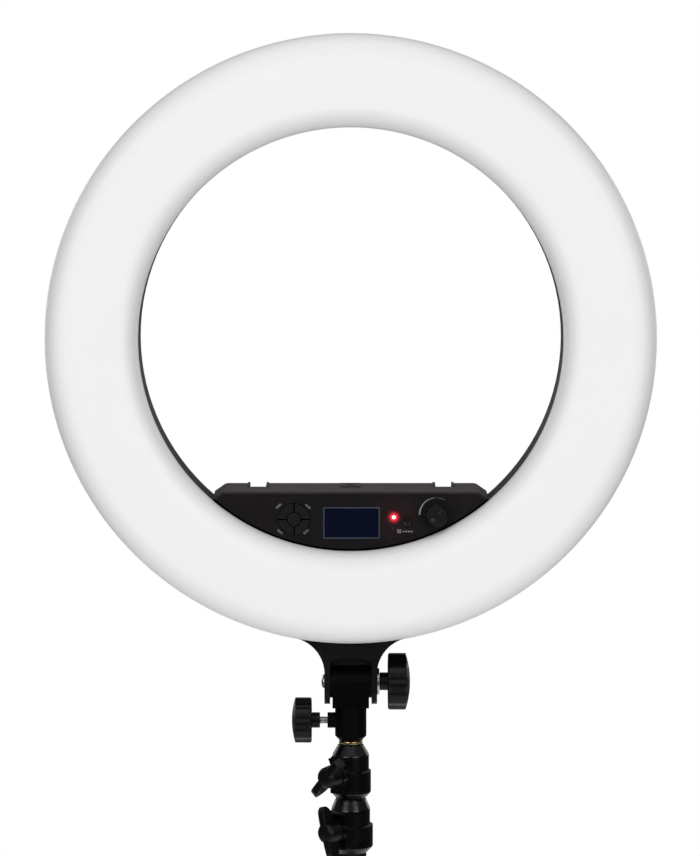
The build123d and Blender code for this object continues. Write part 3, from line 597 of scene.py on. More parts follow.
class Shape:
    """A mesh being made in millimetres, in a frame of its own."""

    def __init__(self) -> None:
        """Starts empty."""
        self.mesh = bmesh.new()

    @classmethod
    def turned(cls, corners: Sequence[Corner], rounds: dict[int, float] | None = None,
               steps: int = 96, segments: int = 5, closed: bool = False) -> "Shape":
        """Turns an outline about Z.

        Args:
            corners: (radius, height) of each corner, from one pole to the other or all the way round.
            rounds: How far each rounded corner is cut back, by its place in corners.
            steps: Steps in the full turn.
            segments: Segments in each rounded corner.
            closed: Whether the outline's last corner joins its first.

        Returns:
            The closed shape.
        """
        shape = cls()
        mesh = shape.mesh
        points = [mesh.verts.new((radius, 0, height)) for radius, height in corners]
        ends = points[1:] + points[:1] if closed else points[1:]
        for start, end in zip(points, ends):
            mesh.edges.new((start, end))
        shape.round_corners(points, rounds, segments)
        bmesh.ops.spin(
            mesh, geom=mesh.verts[:] + mesh.edges[:], cent=(0, 0, 0), axis=(0, 0, 1),
            dvec=(0, 0, 0), angle=tau, steps=steps, use_merge=True, use_duplicate=False,
        )
        return shape.closed()

    @classmethod
    def rod(cls, radius: float, low: float, high: float, edge: float, steps: int = 32) -> "Shape":
        """A round bar along Z, from low to high, with its foot's edge rounded."""
        return cls.turned([(0, low), (radius, low), (radius, high), (0, high)], {1: edge}, steps)

    @classmethod
    def plate(cls, corners: Sequence[Corner], low: float, high: float,
              rounds: dict[int, float], segments: int) -> "Shape":
        """Makes a plate from its outline.

        Args:
            corners: The outline's corners, in X and Y.
            low: The height of its lower face.
            high: The height of its upper face.
            rounds: How far each rounded corner is cut back, by its place in corners.
            segments: Segments in each rounded corner.

        Returns:
            The closed plate.
        """
        shape = cls()
        points = [shape.mesh.verts.new((x, y, low)) for x, y in corners]
        bmesh.ops.contextual_create(shape.mesh, geom=points)
        shape.round_corners(points, rounds, segments)
        shape.lift(shape.mesh.faces[:], high - low)
        return shape.closed()

    @classmethod
    def block(cls, low: Point, high: Point) -> "Shape":
        """A box between two corners."""
        shape = cls()
        size = Matrix.Diagonal((high[0] - low[0], high[1] - low[1], high[2] - low[2], 1.0))
        middle = Matrix.Translation((Vector(low) + Vector(high)) / 2)
        bmesh.ops.create_cube(shape.mesh, size=1.0, matrix=middle @ size)
        return shape

    @classmethod
    def of_node(cls, node: str, width: float, angle: float, segments: int) -> "Shape":
        """Copies a solid's mesh and rounds its edges.

        Args:
            node: The solid's name.
            width: How far each sharp edge is cut back.
            angle: Edges that turn more than this many degrees are sharp.
            segments: Segments across each rounded edge.

        Returns:
            The softened copy, in the row's frame.
        """
        shape = cls()
        mesh = shape.mesh
        mesh.from_mesh(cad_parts[node].data)
        bmesh.ops.scale(mesh, vec=(1000, 1000, 1000), verts=mesh.verts[:])
        bmesh.ops.remove_doubles(mesh, verts=mesh.verts[:], dist=0.002)
        bmesh.ops.dissolve_limit(
            mesh, angle_limit=radians(0.3), use_dissolve_boundaries=False,
            verts=mesh.verts[:], edges=mesh.edges[:],
        )
        return shape.soften(width, angle, segments)

    def closed(self) -> "Shape":
        """Merges doubled points and turns every face outwards."""
        bmesh.ops.remove_doubles(self.mesh, verts=self.mesh.verts[:], dist=1e-4)
        bmesh.ops.recalc_face_normals(self.mesh, faces=self.mesh.faces[:])
        return self

    def bevel(self, parts: list[bmesh.types.BMVert] | list[bmesh.types.BMEdge], width: float,
              segments: int, affect: str) -> None:
        """Rounds corners or edges.

        Args:
            parts: The corners or edges.
            width: How far they are cut back.
            segments: Segments in each rounding.
            affect: VERTICES or EDGES.
        """
        bmesh.ops.bevel(
            self.mesh, geom=parts, offset=width, offset_type="OFFSET", segments=segments,
            profile=0.5, affect=affect, clamp_overlap=True, material=-1,
        )

    def round_corners(self, points: list[bmesh.types.BMVert], rounds: dict[int, float] | None,
                      segments: int) -> None:
        """Rounds some of an outline's corners, by their place in points."""
        for index, width in (rounds or {}).items():
            self.bevel([points[index]], width, segments, "VERTICES")

    def soften(self, width: float, angle: float, segments: int) -> "Shape":
        """Rounds the edges that turn by more than an angle in degrees."""
        limit = radians(angle)
        sharp = [e for e in self.mesh.edges if len(e.link_faces) == 2 and e.calc_face_angle(0) > limit]
        self.bevel(sharp, width, segments, "EDGES")
        return self

    def lift(self, faces: list[bmesh.types.BMFace], rise: float,
             size: float = 1.0) -> list[bmesh.types.BMFace]:
        """Extrudes faces along Z.

        Args:
            faces: The faces to extrude.
            rise: How far they go up.
            size: How much they grow about the Z axis.

        Returns:
            The faces' new places.
        """
        grown = bmesh.ops.extrude_face_region(self.mesh, geom=faces)["geom"]
        points = [item for item in grown if isinstance(item, bmesh.types.BMVert)]
        bmesh.ops.translate(self.mesh, vec=(0, 0, rise), verts=points)
        bmesh.ops.scale(self.mesh, vec=(size, size, 1.0), verts=points)
        return [item for item in grown if isinstance(item, bmesh.types.BMFace)]

    def scale_point(self, point: bmesh.types.BMVert, factor: float) -> None:
        """Moves one point towards the Z axis or away from it."""
        bmesh.ops.scale(self.mesh, vec=(factor, factor, 1.0), verts=[point])

    def move(self, place: Matrix) -> "Shape":
        """Moves the whole shape."""
        bmesh.ops.transform(self.mesh, matrix=place, verts=self.mesh.verts[:])
        return self

    def add(self, other: "Shape", place: Matrix = ROW) -> "Shape":
        """Joins a copy of another shape, put in its place, to this one."""
        passing = bpy.data.meshes.new("passing")
        other.mesh.to_mesh(passing)
        passing.transform(place)
        self.mesh.from_mesh(passing)
        bpy.data.meshes.remove(passing)
        return self

    def piece(self, name: str, finish: Finish, body: str, slot: Slot,
              place: Matrix = ROW, hides: Iterable[str] = (), crease: float = 35.0) -> bpy.types.Object:
        """Makes the shape an object of the scene.

        Args:
            name: The piece's name.
            finish: What it is made of.
            body: The body it moves with.
            slot: Not used.
            place: The frame it was made in.
            hides: The solids that it stands for.
            crease: Edges that turn more than this many degrees stay sharp.

        Returns:
            The new object, at the origin.
        """
        data = bpy.data.meshes.new(name)
        self.mesh.to_mesh(data)
        self.mesh.free()
        data.transform(Matrix.Scale(MM, 4) @ place)
        data.shade_smooth()
        data.set_sharp_from_angle(angle=radians(crease))
        data.materials.append(finish.material())
        made = bpy.data.objects.new(name, data)
        bpy.context.scene.collection.objects.link(made)
        facing = made.modifiers.new("facing", "WEIGHTED_NORMAL")
        facing.mode = "FACE_AREA"
        facing.keep_sharp = True
        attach(made, body)
        nodes = tuple(hides)
        if nodes:
            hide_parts(*nodes)
        LOG.info("%s: %d faces on %s", name, len(data.polygons), body)
        return made


def soft_piece(node: str, width: float, finish: Finish, body: str, slot: Slot,
               angle: float = SHARP, segments: int = 2) -> bpy.types.Object:
    """A solid's softened copy, shown in its place.

    Args:
        node: The solid's name.
        width: How far its edges are cut back, in millimetres.
        finish: What it is made of.
        body: The body it moves with.
        slot: Not used; it is passed on to the piece, which ignores it.
        angle: Edges that turn more than this many degrees are rounded.
        segments: Segments across each rounded edge.

    Returns:
        The new piece.
    """
    shape = Shape.of_node(node, width, angle, segments)
    return shape.piece(f"{node}_skin", finish, body, slot, hides=[node])


def coat(node: str, finish: Finish) -> None:
    """Gives a solid that shows as it is a material of its own."""
    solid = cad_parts[node]
    made = finish.material()
    if not solid.material_slots:
        solid.data.materials.append(made)
    for place in solid.material_slots:
        place.material = made
    LOG.info("%s keeps its solid", node)


def heading_of(point: bmesh.types.BMVert) -> float:
    """A point's heading about the Z axis, in radians from X."""
    return Vector((point.co.x, point.co.y)).angle_signed(Vector((1, 0)))


def lobed_head(radius: float, tall: float, lobes: int, crown: float, rim: float) -> Shape:
    """Makes a knob's head with scallops round its rim and a domed end.

    Args:
        radius: Its radius over the lobes.
        tall: Its height in the middle.
        lobes: How many lobes it has.
        crown: How much its end rises from the rim to the middle.
        rim: How far its rims are rounded.

    Returns:
        The head, from height 0 up.
    """
    shape = Shape()
    mesh = shape.mesh
    bmesh.ops.create_circle(mesh, cap_ends=True, radius=radius, segments=lobes * 18)
    # Each scallop is an arc of radius bite, whose middle is reach away from the knob's
    reach = radius * 1.3024
    bite = radius * 0.42
    for point in mesh.verts[:]:
        away = (heading_of(point) + pi / lobes) % (tau / lobes)
        away = min(away, tau / lobes - away)
        side = reach * sin(away)
        if side < bite:
            near = reach * cos(away) - sqrt(bite**2 - side**2)
            shape.scale_point(point, min(1.0, near / radius))
    for _ in range(3):
        bmesh.ops.smooth_vert(mesh, verts=mesh.verts[:], factor=0.5, use_axis_x=True, use_axis_y=True)
    factor = radius / max(point.co.length for point in mesh.verts)
    bmesh.ops.scale(mesh, vec=(factor, factor, 1.0), verts=mesh.verts[:])
    top = shape.lift(mesh.faces[:], tall - crown)
    sphere = (radius**2 + crown**2) / (2 * crown)
    size, height = 1.0, 0.0
    for target in (0.8, 0.6, 0.4, 0.2):
        rise = crown - (sphere - sqrt(sphere**2 - (radius * target) ** 2))
        top = shape.lift(top, rise - height, target / size)
        size, height = target, rise
    return shape.closed().soften(rim, 45.0, 3)


# The studio


@dataclass
class Studio:
    """The floor, the lights and the camera."""

    lamps: tuple[tuple[str, Point, Point, float, float], ...] = (
        ("front_left", (-1.9, -3.1, 1.7), (0, 0, 1.0), 2.0, 38.0),
        ("front_right", (1.9, -3.1, 1.7), (0, 0, 1.0), 2.0, 38.0),
        ("above", (0.0, -1.0, 3.1), (0, -0.1, 0.9), 1.8, 11.0),
        ("back_left", (-2.2, 2.8, 1.2), (0, 0, 1.0), 1.6, 12.0),
        ("back_right", (2.2, 2.8, 1.2), (0, 0, 1.0), 1.6, 12.0),
    )
    reflected_span: Corner = (0.08, 0.8)
    reflected: Corner = (0.055, 0.42)
    room: Corner = (0.21, 0.31)
    lens: float = 149.55
    camera_place: Point = (-0.0006, -2.912, 1.264)
    camera_pitch: float = 4.916
    camera_shift: float = -0.11

    def build(self) -> None:
        """Makes everything that isn't part of the object."""
        bpy.context.scene.view_settings.view_transform = "Standard"
        self.make_world()
        self.make_floor()
        for lamp in self.lamps:
            self.make_lamp(*lamp)
        self.make_camera()

    def make_world(self) -> None:
        """A white surround for the camera, and a darker room that lights the object from above."""
        world = bpy.data.worlds.new("surround")
        bpy.context.scene.world = world
        world.use_nodes = True
        world.node_tree.nodes.clear()
        graph = Graph(world.node_tree)
        path = graph.node("LightPath").outputs
        direction = graph.node("TexCoord").outputs["Generated"]
        up = graph.node("SeparateXYZ", {0: direction}).outputs["Z"]
        glossy = self.background(graph, graph.spread(up, self.reflected_span, self.reflected))
        soft = self.background(graph, graph.spread(up, (-1.0, 1.0), self.room))
        room = graph.node("MixShader", {0: path["Is Glossy Ray"], 1: soft, 2: glossy}).outputs[0]
        seen = graph.combine("MAXIMUM", path["Is Camera Ray"], path["Is Transmission Ray"])
        whole = graph.node("MixShader", {0: seen, 1: room, 2: self.background(graph, 1.0)}).outputs[0]
        graph.node("OutputWorld", {"Surface": whole})

    def background(self, graph: Graph, strength: Socket | float) -> Socket:
        """Plain white light of a given strength."""
        return graph.node("Background", {"Color": (1, 1, 1, 1), "Strength": strength}).outputs[0]

    def make_floor(self) -> None:
        """A pale disc that fades out into the white surround."""
        paint = FloorPaint()
        shape = Shape()
        bmesh.ops.create_circle(shape.mesh, cap_ends=True, radius=paint.radius, segments=96)
        data = bpy.data.meshes.new("floor")
        shape.mesh.to_mesh(data)
        shape.mesh.free()
        data.materials.append(paint.material())
        floor = bpy.data.objects.new("floor", data)
        floor.location.z = -0.0005
        bpy.context.scene.collection.objects.link(floor)

    def make_lamp(self, name: str, place: Point, target: Point, size: float, power: float) -> None:
        """Hangs a square soft light.

        Args:
            name: The lamp's name.
            place: Where it hangs, in metres.
            target: The point it faces.
            size: The length of its side, in metres.
            power: Its power in watts.
        """
        light = bpy.data.lights.new(name, "AREA")
        light.size = size
        light.energy = power
        lamp = bpy.data.objects.new(name, light)
        lamp.location = place
        lamp.rotation_euler = (Vector(target) - Vector(place)).to_track_quat("-Z", "Y").to_euler()
        bpy.context.scene.collection.objects.link(lamp)

    def make_camera(self) -> None:
        """The photograph's view, a little above the ring and looking down."""
        camera = bpy.data.objects.new("camera", bpy.data.cameras.new("camera"))
        camera.data.lens = self.lens
        camera.data.sensor_width = 36.0
        camera.data.shift_y = self.camera_shift
        camera.location = self.camera_place
        camera.rotation_euler = Euler((radians(90.0 - self.camera_pitch), 0, 0))
        bpy.context.scene.collection.objects.link(camera)
        bpy.context.scene.camera = camera


# The ring's head


@dataclass
class RingHead:
    """The moulded ring, its opal front and what is inside."""

    body: str = "head"
    inner: float = 166.8
    outer: float = 240.0
    rim: float = 10.0
    crown: float = 30.0
    crown_fall: float = 0.4
    shoulder: float = 17.0
    wall: float = 2.5
    lip_foot: float = 6.6
    lip_top: float = 13.0
    inner_lip: Corner = (169.6, 171.4)
    outer_lip: Corner = (235.6, 237.2)

    def build(self) -> None:
        """Makes every piece of the ring."""
        soft_piece("rear_housing", 0.5, HOUSING_PLASTIC, self.body, Slot.HOUSING)
        self.make_diffuser()
        soft_piece("thread_insert", 0.2, BRASS, self.body, Slot.BRASS)
        coat("led_board", CircuitBoard())
        coat("led_emitters", Phosphor())
        coat("board_screws", STEEL)

    def make_diffuser(self) -> None:
        """The opal front, with a crown that falls a little to both rolled edges."""
        low, high = self.inner + self.wall, self.outer - self.wall
        edge = self.crown - self.crown_fall
        inside = self.crown - self.wall - self.crown_fall
        near, far = self.inner_lip, self.outer_lip
        foot, top = self.lip_foot, self.lip_top
        corners = [
            (self.inner, self.rim), (self.inner, edge), ((self.inner + self.outer) / 2, self.crown),
            (self.outer, edge), (self.outer, self.rim), (far[1], self.rim), (far[1], foot),
            (far[0], foot), (far[0], top), (high, top), (high, inside), (low, inside),
            (low, top), (near[1], top), (near[1], foot), (near[0], foot), (near[0], self.rim),
        ]
        rounds = {0: 0.35, 1: self.shoulder, 2: 10.0, 3: self.shoulder, 4: 0.35, 10: 13.0, 11: 13.0}
        shape = Shape.turned(corners, rounds, steps=192, segments=9, closed=True)
        shape.piece("opal_front", MilkyShell(), self.body, Slot.DIFFUSER, FACE, ["diffuser"])


# The control panel


@dataclass
class ControlPanel:
    """The gloss panel with its screen, keys, lamps and dimmer."""

    body: str = "head"
    front: float = 12.0
    screen: Corner = (0.6, -144.3)
    screen_size: Corner = (44.6, 25.0)
    screen_line: float = 0.95
    pad: Corner = (-44.6, -141.5)
    lamp: Corner = RED_LAMP
    standby: Corner = (33.7, -148.7)
    square: Corner = (38.1, -150.9)
    dash_row: float = -151.1
    dimmer: Corner = (67.3, -137.4)
    dimmer_radius: float = 10.4
    dimmer_tall: float = 11.0
    flutes: int = 24
    flute_depth: float = 1.0
    dimple: Corner = (-2.9, -3.3)
    index_turn: float = 48.0
    dial_radius: float = 13.1
    dial_half: float = 0.62
    dial_start: float = 182.0
    dial_sweep: float = 88.0
    dial_thinning: float = 0.82
    dial_ticks: tuple[float, ...] = (86.0, 78.0, 70.0, 63.0)

    def build(self) -> None:
        """Makes every piece of the panel."""
        soft_piece("front_panel", 0.25, GlossSheet(), self.body, Slot.PANEL, 25.0)
        soft_piece("screen_window", 0.15, DisplayGlass(), self.body, Slot.WINDOW)
        self.make_screen_edge()
        coat("screen_module", INNER_PLASTIC)
        coat("control_board", CircuitBoard())
        coat("dimmer_encoder", INNER_PLASTIC)
        self.make_lamps()
        self.make_keys()
        self.make_pad_marks()
        self.make_mode_mark()
        self.make_dial()
        self.make_dimmer()

    def make_screen_edge(self) -> None:
        """The paler line round the display, printed inside its window."""
        x, up = self.screen
        half_wide, half_tall = self.screen_size[0] / 2, self.screen_size[1] / 2
        inner_wide, inner_tall = half_wide - self.screen_line, half_tall - self.screen_line
        back, front = self.front - 0.01, self.front + 0.03
        shape = Shape()
        for side in (-1, 1):
            left, right = sorted((side * half_wide, side * inner_wide))
            low, high = sorted((side * half_tall, side * inner_tall))
            shape.add(Shape.block((x + left, up - half_tall, back), (x + right, up + half_tall, front)))
            shape.add(Shape.block((x - inner_wide, up + low, back), (x + inner_wide, up + high, front)))
        shape.piece("screen_edge", FRAME_INK, self.body, Slot.WINDOW, FACE)

    def make_lamps(self) -> None:
        """The lit red lamp, and the small unlit one under it, whose faint glow is a painted reflection."""
        for name, spot, radius, proud, strength, colour, hides in (
                ("red_lamp", self.lamp, 1.6, 0.4, 7.0, (0.28, 0.008, 0.012), ["indicator_lamps"]),
                # The unlit lamp's faint glow is a painted reflection
                ("dim_lamp", self.standby, 1.0, 0.1, 0.006, (0.024, 0.006, 0.008), [])):
            foot, top = 0.6, self.front + proud
            corners = [(0, foot), (radius, foot), (radius, top), (0, top)]
            lens = Shape.turned(corners, {2: radius * 0.45}, 32)
            lens.move(Matrix.Translation((*spot, 0)))
            finish = LampLens(f"{name}_lens", colour, centre=on_face(spot, self.front),
                              radius_mm=radius, strength=strength)
            lens.piece(name, finish, self.body, Slot.LAMP, FACE, hides)

    def make_keys(self) -> None:
        """The round pad's five keys and the mode key."""
        soft_piece("centre_button", 0.3, KEY_PLASTIC, "centre_key", Slot.BUTTON)
        soft_piece("mode_button", 0.35, MODE_PLASTIC, "mode_key", Slot.BUTTON)
        for index in range(1, 5):
            soft_piece(f"arc_button_{index}", 0.4, KEY_PLASTIC, f"arc_key_{index}", Slot.BUTTON)

    def bar(self, shape: Shape, spot: Corner, size: Corner, turn: float = 0.0) -> None:
        """Adds one printed bar to a shape.

        Args:
            shape: The shape it joins.
            spot: Its middle, on the panel.
            size: Its length and width.
            turn: Its turn on the panel, in degrees.
        """
        half = (size[0] / 2, size[1] / 2)
        stroke = Shape.block((-half[0], -half[1], -0.02), (half[0], half[1], 0.04))
        place = Matrix.Translation((*spot, self.front)) @ Matrix.Rotation(radians(turn), 4, "Z")
        shape.add(stroke, place)

    def make_pad_marks(self) -> None:
        """Small plain ticks round the pad, and a row of dashes under the mode key."""
        shape = Shape()
        tall, wide, short = (0.6, 1.7), (1.1, 0.55), (1.3, 0.55)
        strokes = ((-2.05, 0.0, tall), (-0.9, 0.5, wide), (-0.9, -0.55, wide),
                   (0.35, 0.0, tall), (1.7, 0.55, short), (1.7, -0.5, short))
        for offset, turn in (((-12.1, 10.6), 42.0), ((10.9, 10.2), -42.0),
                             ((-11.1, -9.9), -42.0), ((9.4, -9.7), 42.0)):
            spot = Vector(self.pad) + Vector(offset)
            along = Vector((cos(radians(turn)), sin(radians(turn))))
            across = Vector((-along.y, along.x))
            for step, rise, size in strokes:
                self.bar(shape, tuple(spot + along * step + across * rise), size, turn)
        for place, length in ((41.4, 1.5), (43.5, 1.7), (45.9, 2.1), (48.2, 1.5)):
            self.bar(shape, (place, self.dash_row), (length, 0.95))
        shape.piece("key_marks", PALE_INK, self.body, Slot.PANEL, FACE)

    def make_mode_mark(self) -> None:
        """A small square with a dot in it."""
        shape = Shape()
        x, up = self.square
        for across, rise, size in ((0.0, -1.1, (3.0, 0.6)), (0.0, 1.1, (3.0, 0.6)), (-1.2, 0.0, (0.6, 1.7)),
                                   (1.2, 0.0, (0.6, 1.7)), (0.0, 0.0, (1.0, 0.8))):
            self.bar(shape, (x + across, up + rise), size)
        shape.piece("mode_mark", PALE_INK, self.body, Slot.PANEL, FACE)

    def make_dial(self) -> None:
        """The printed arc over the dimmer, thick at its left end and thin at its right."""
        shape = Shape()
        mesh = shape.mesh
        radius, sweep = self.dial_radius, radians(self.dial_sweep)
        ends = [mesh.verts.new((radius + side * self.dial_half, 0, 0)) for side in (-1, 1)]
        edge = mesh.edges.new(ends)
        bmesh.ops.rotate(mesh, matrix=Matrix.Rotation(radians(self.dial_start), 3, "Z"), verts=mesh.verts[:])
        bmesh.ops.spin(mesh, geom=[*ends, edge], cent=(0, 0, 0), axis=(0, 0, 1), dvec=(0, 0, 0),
                       angle=-sweep, steps=26, use_merge=False, use_duplicate=False)
        for point in mesh.verts[:]:
            flat = Vector((point.co.x, point.co.y))
            turned = (flat.angle_signed(Vector((-1, 0))) + tau) % tau
            turned = min(turned, tau - turned)
            thin = 1.0 - self.dial_thinning * min(1.0, turned / sweep)
            wanted = radius + (flat.length - radius) * thin
            shape.scale_point(point, wanted / flat.length)
        shape.lift(mesh.faces[:], 0.05)
        shape.closed()
        for heading in self.dial_ticks:
            angle = radians(heading)
            tick = Shape.block((-0.6, -0.14, 0.0), (0.6, 0.14, 0.05))
            spot = Matrix.Translation((radius * cos(angle), radius * sin(angle), 0))
            shape.add(tick, spot @ Matrix.Rotation(angle + pi / 2, 4, "Z"))
        shape.move(Matrix.Translation((*self.dimmer, self.front - 0.01)))
        shape.piece("dial_arc", DIAL_INK, self.body, Slot.PANEL, FACE)

    def make_dimmer(self) -> None:
        """The fluted dimmer with its finger dimple and index line."""
        low = self.front + 0.4
        top = low + self.dimmer_tall
        stub, foot = 3.0, 4.6
        corners = [
            (0, foot), (stub, foot), (stub, low), (self.dimmer_radius, low),
            (self.dimmer_radius - 0.5, low + 5.0), (7.6, top), (6.6, top), (6.2, top - 0.35), (0, top - 0.5),
        ]
        shape = Shape.turned(corners, {3: 0.4, 4: 1.6, 5: 0.7}, steps=self.flutes * 8, segments=4)
        for point in shape.mesh.verts[:]:
            away = hypot(point.co.x, point.co.y)
            if away > 7.0 and low + 0.7 < point.co.z < top - 0.3:
                groove = max(0.0, cos(heading_of(point) * self.flutes) - 0.1) / 0.9
                shape.scale_point(point, 1.0 - self.flute_depth * groove**0.6 / away)
        shape.move(Matrix.Translation((*self.dimmer, 0)))
        shape.piece("dimmer_grip", DIMMER_PLASTIC, "dimmer", Slot.BUTTON, FACE, ["dimmer_knob"], 25.0)
        dimple = Shape.turned([(0, 0), (1.5, 0), (1.7, 0.12), (1.5, 0.22), (0, 0.1)], steps=32)
        x, up = self.dimmer[0] + self.dimple[0], self.dimmer[1] + self.dimple[1]
        dimple.move(Matrix.Translation((x, up, top - 0.45)))
        dimple.piece("dimmer_dimple", DIMPLE_INK, "dimmer", Slot.BUTTON, FACE)
        line = Shape.block((2.6, -0.28, -0.6), (5.9, 0.28, -0.36))
        line.move(Matrix.Translation((*self.dimmer, top)) @ Matrix.Rotation(radians(self.index_turn), 4, "Z"))
        line.piece("dimmer_index", INDEX_INK, "dimmer", Slot.BUTTON, FACE)


# The back of the box


@dataclass
class BackOfBox:
    """The cover with its screws, inlet, rocker and battery plates."""

    body: str = "head"
    inlet: Corner = (-20.0, -152.0)
    pin_radius: float = 1.04
    pin_foot: float = -47.55
    pin_end: float = -36.9
    rocker: Corner = (18.0, -152.0)
    rocker_axis: float = -44.5
    rocker_tilt: float = -8.0
    print_depth: Corner = (-5.82, -5.4)

    def build(self) -> None:
        """Makes every piece on the box's back."""
        soft_piece("rear_cover", 0.35, HOUSING_PLASTIC, self.body, Slot.HOUSING)
        soft_piece("cover_screws", 0.15, STEEL, self.body, Slot.STEEL)
        soft_piece("power_inlet", 0.3, INNER_PLASTIC, self.body, Slot.COMPONENT)
        self.make_inlet_pin()
        soft_piece("power_switch", 0.5, KEY_PLASTIC, "rocker", Slot.BUTTON, 24.0)
        self.make_rocker_marks()
        for side in ("left", "right"):
            soft_piece(f"battery_plate_{side}", 0.4, INNER_PLASTIC, self.body, Slot.COMPONENT)
            soft_piece(f"battery_latch_{side}", 0.4, KEY_PLASTIC, f"latch_{side}", Slot.BUTTON)
        soft_piece("battery_contacts", 0.2, BRASS, self.body, Slot.BRASS)
        coat("driver_board", CircuitBoard())

    def make_inlet_pin(self) -> None:
        """The inlet's bright centre pin."""
        pin = Shape.rod(self.pin_radius, self.pin_foot, self.pin_end, 0.4)
        pin.move(Matrix.Translation((*self.inlet, 0)))
        pin.piece("inlet_pin", STEEL, self.body, Slot.STEEL, FACE)

    def make_rocker_marks(self) -> None:
        """The bar and the ring that show on and off."""
        low, high = self.print_depth
        bar = Shape.block((-0.45, 3.2, low), (0.45, 6.8, high))
        ring = Shape.turned([(1.3, low), (1.9, low), (1.9, high), (1.3, high)], steps=40, closed=True)
        bar.add(ring, Matrix.Translation((0, -5.0, 0)))
        tilt = Matrix.Rotation(radians(self.rocker_tilt), 4, "X")
        bar.move(Matrix.Translation((*self.rocker, self.rocker_axis)) @ tilt)
        bar.piece("rocker_marks", ROCKER_INK, "rocker", Slot.BUTTON, FACE)


# The tilting joint


def lobed_knob(radius: float, tall: float, crown: float, rim: float, hub: float, hub_edge: float) -> Shape:
    """Makes a six-lobed knob on its round hub.

    Args:
        radius: Its radius over the lobes.
        tall: Its head's height in the middle.
        crown: How much its end rises from the rim to the middle.
        rim: How far its rims are rounded.
        hub: The hub's radius.
        hub_edge: How far the hub's edge is rounded.

    Returns:
        The knob, from height 0 up.
    """
    head_foot, hub_top = 6.6, 7.4
    knob = Shape().add(lobed_head(radius, tall, 6, crown, rim), raised(head_foot))
    return knob.add(Shape.rod(hub, 0, hub_top, hub_edge, 48))


def thread(root: float, crest: float, low: float, high: float, pitch: float) -> Shape:
    """Makes a screw's helical ridge.

    Args:
        root: The radius at the foot of the ridge.
        crest: The radius at its top.
        low: Where it starts.
        high: Where it ends.
        pitch: How far it climbs in a turn.

    Returns:
        The closed ridge.
    """
    shape = Shape()
    mesh = shape.mesh
    outline = [(root - 0.1, low), (crest, low + pitch * 0.35), (crest, low + pitch * 0.45),
               (root - 0.1, low + pitch * 0.8)]
    points = [mesh.verts.new((radius, 0, height)) for radius, height in outline]
    start = bmesh.ops.contextual_create(mesh, geom=points)["faces"]
    turns = int((high - low) / pitch) - 1
    steps = turns * 20
    bmesh.ops.spin(
        mesh, geom=start, cent=(0, 0, 0), axis=(0, 0, 1), dvec=(0, 0, turns * pitch / steps),
        angle=tau * turns, steps=steps, use_merge=False, use_duplicate=False,
    )
    return shape.closed()


@dataclass
class TiltJoint:
    """The fork, its bolt and knob, and the socket that slips over the stud."""

    tilt_drop: float = -274.0
    clamp_drop: float = -305.2
    ear_out: float = 20.9
    washer: float = 2.0
    bolt_radius: float = 2.95
    bolt_past_axis: float = 36.5
    clamp_knob_out: float = 24.5

    def build(self) -> None:
        """Makes every piece of the joint."""
        soft_piece("tilt_fork", 0.8, CastCoat(), "head", Slot.CASTING, segments=3)
        coat("fork_screws", STEEL)
        self.make_bolt()
        soft_piece("tilt_washer", 0.25, STEEL, "head", Slot.STEEL)
        self.make_tilt_knob()
        soft_piece("socket_body", 0.6, SHADED_SOCKET_COAT, "socket", Slot.CASTING, segments=3)
        self.make_clamp()
        soft_piece("spigot", 0.8, BRASS, "top_section", Slot.BRASS, segments=4)

    def sideways(self, start: float, drop: float, left: bool) -> Matrix:
        """A frame over the column whose Z runs along the X axis.

        Args:
            start: Where it starts, along X.
            drop: Its height below the ring's middle.
            left: Whether Z points to the left.

        Returns:
            The frame, in millimetres in the row's frame.
        """
        turn = Matrix.Rotation(-pi / 2 if left else pi / 2, 4, "Y")
        return Matrix.Translation((start, COLUMN_Y, RING_HEIGHT + drop)) @ turn

    def make_bolt(self) -> None:
        """A long bolt with a low domed head on the left ear."""
        end = -self.ear_out - self.bolt_past_axis
        corners = [(0, end), (self.bolt_radius, end), (self.bolt_radius, 0.0), (5.5, 0.0), (5.5, 0.8),
                   (4.2, 2.1), (0, 2.4)]
        shape = Shape.turned(corners, {3: 0.3, 4: 0.7, 5: 1.6}, 48)
        place = self.sideways(-self.ear_out, self.tilt_drop, True)
        shape.piece("tilt_bolt_skin", STEEL, "head", Slot.STEEL, place, ["tilt_bolt"])

    def make_tilt_knob(self) -> None:
        """The large six-lobed knob on the right."""
        knob = lobed_knob(radius=22.5, tall=17.7, crown=3.6, rim=1.6, hub=7.1, hub_edge=0.6)
        place = self.sideways(self.ear_out + self.washer, self.tilt_drop, False)
        knob.piece("tilt_knob_skin", KnobPlastic(), "tilt_grip", Slot.KNOB, place, ["tilt_knob"])

    def make_clamp(self) -> None:
        """The threaded clamp screw and its six-lobed knob on the left."""
        place = self.sideways(0.0, self.clamp_drop, True)
        screw = Shape.rod(radius=2.55, low=8.3, high=31.0, edge=0.4)
        screw.add(thread(root=2.5, crest=2.93, low=9.0, high=30.5, pitch=1.0))
        screw.piece("clamp_screw_skin", STEEL, "clamp_grip", Slot.STEEL, place, ["clamp_screw"])
        knob = lobed_knob(radius=18.0, tall=15.8, crown=2.8, rim=1.4, hub=6.15, hub_edge=0.5)
        place = self.sideways(-self.clamp_knob_out, self.clamp_drop, True)
        knob.piece("clamp_knob_skin", KnobPlastic(), "clamp_grip", Slot.KNOB, place, ["clamp_knob"])


# The column


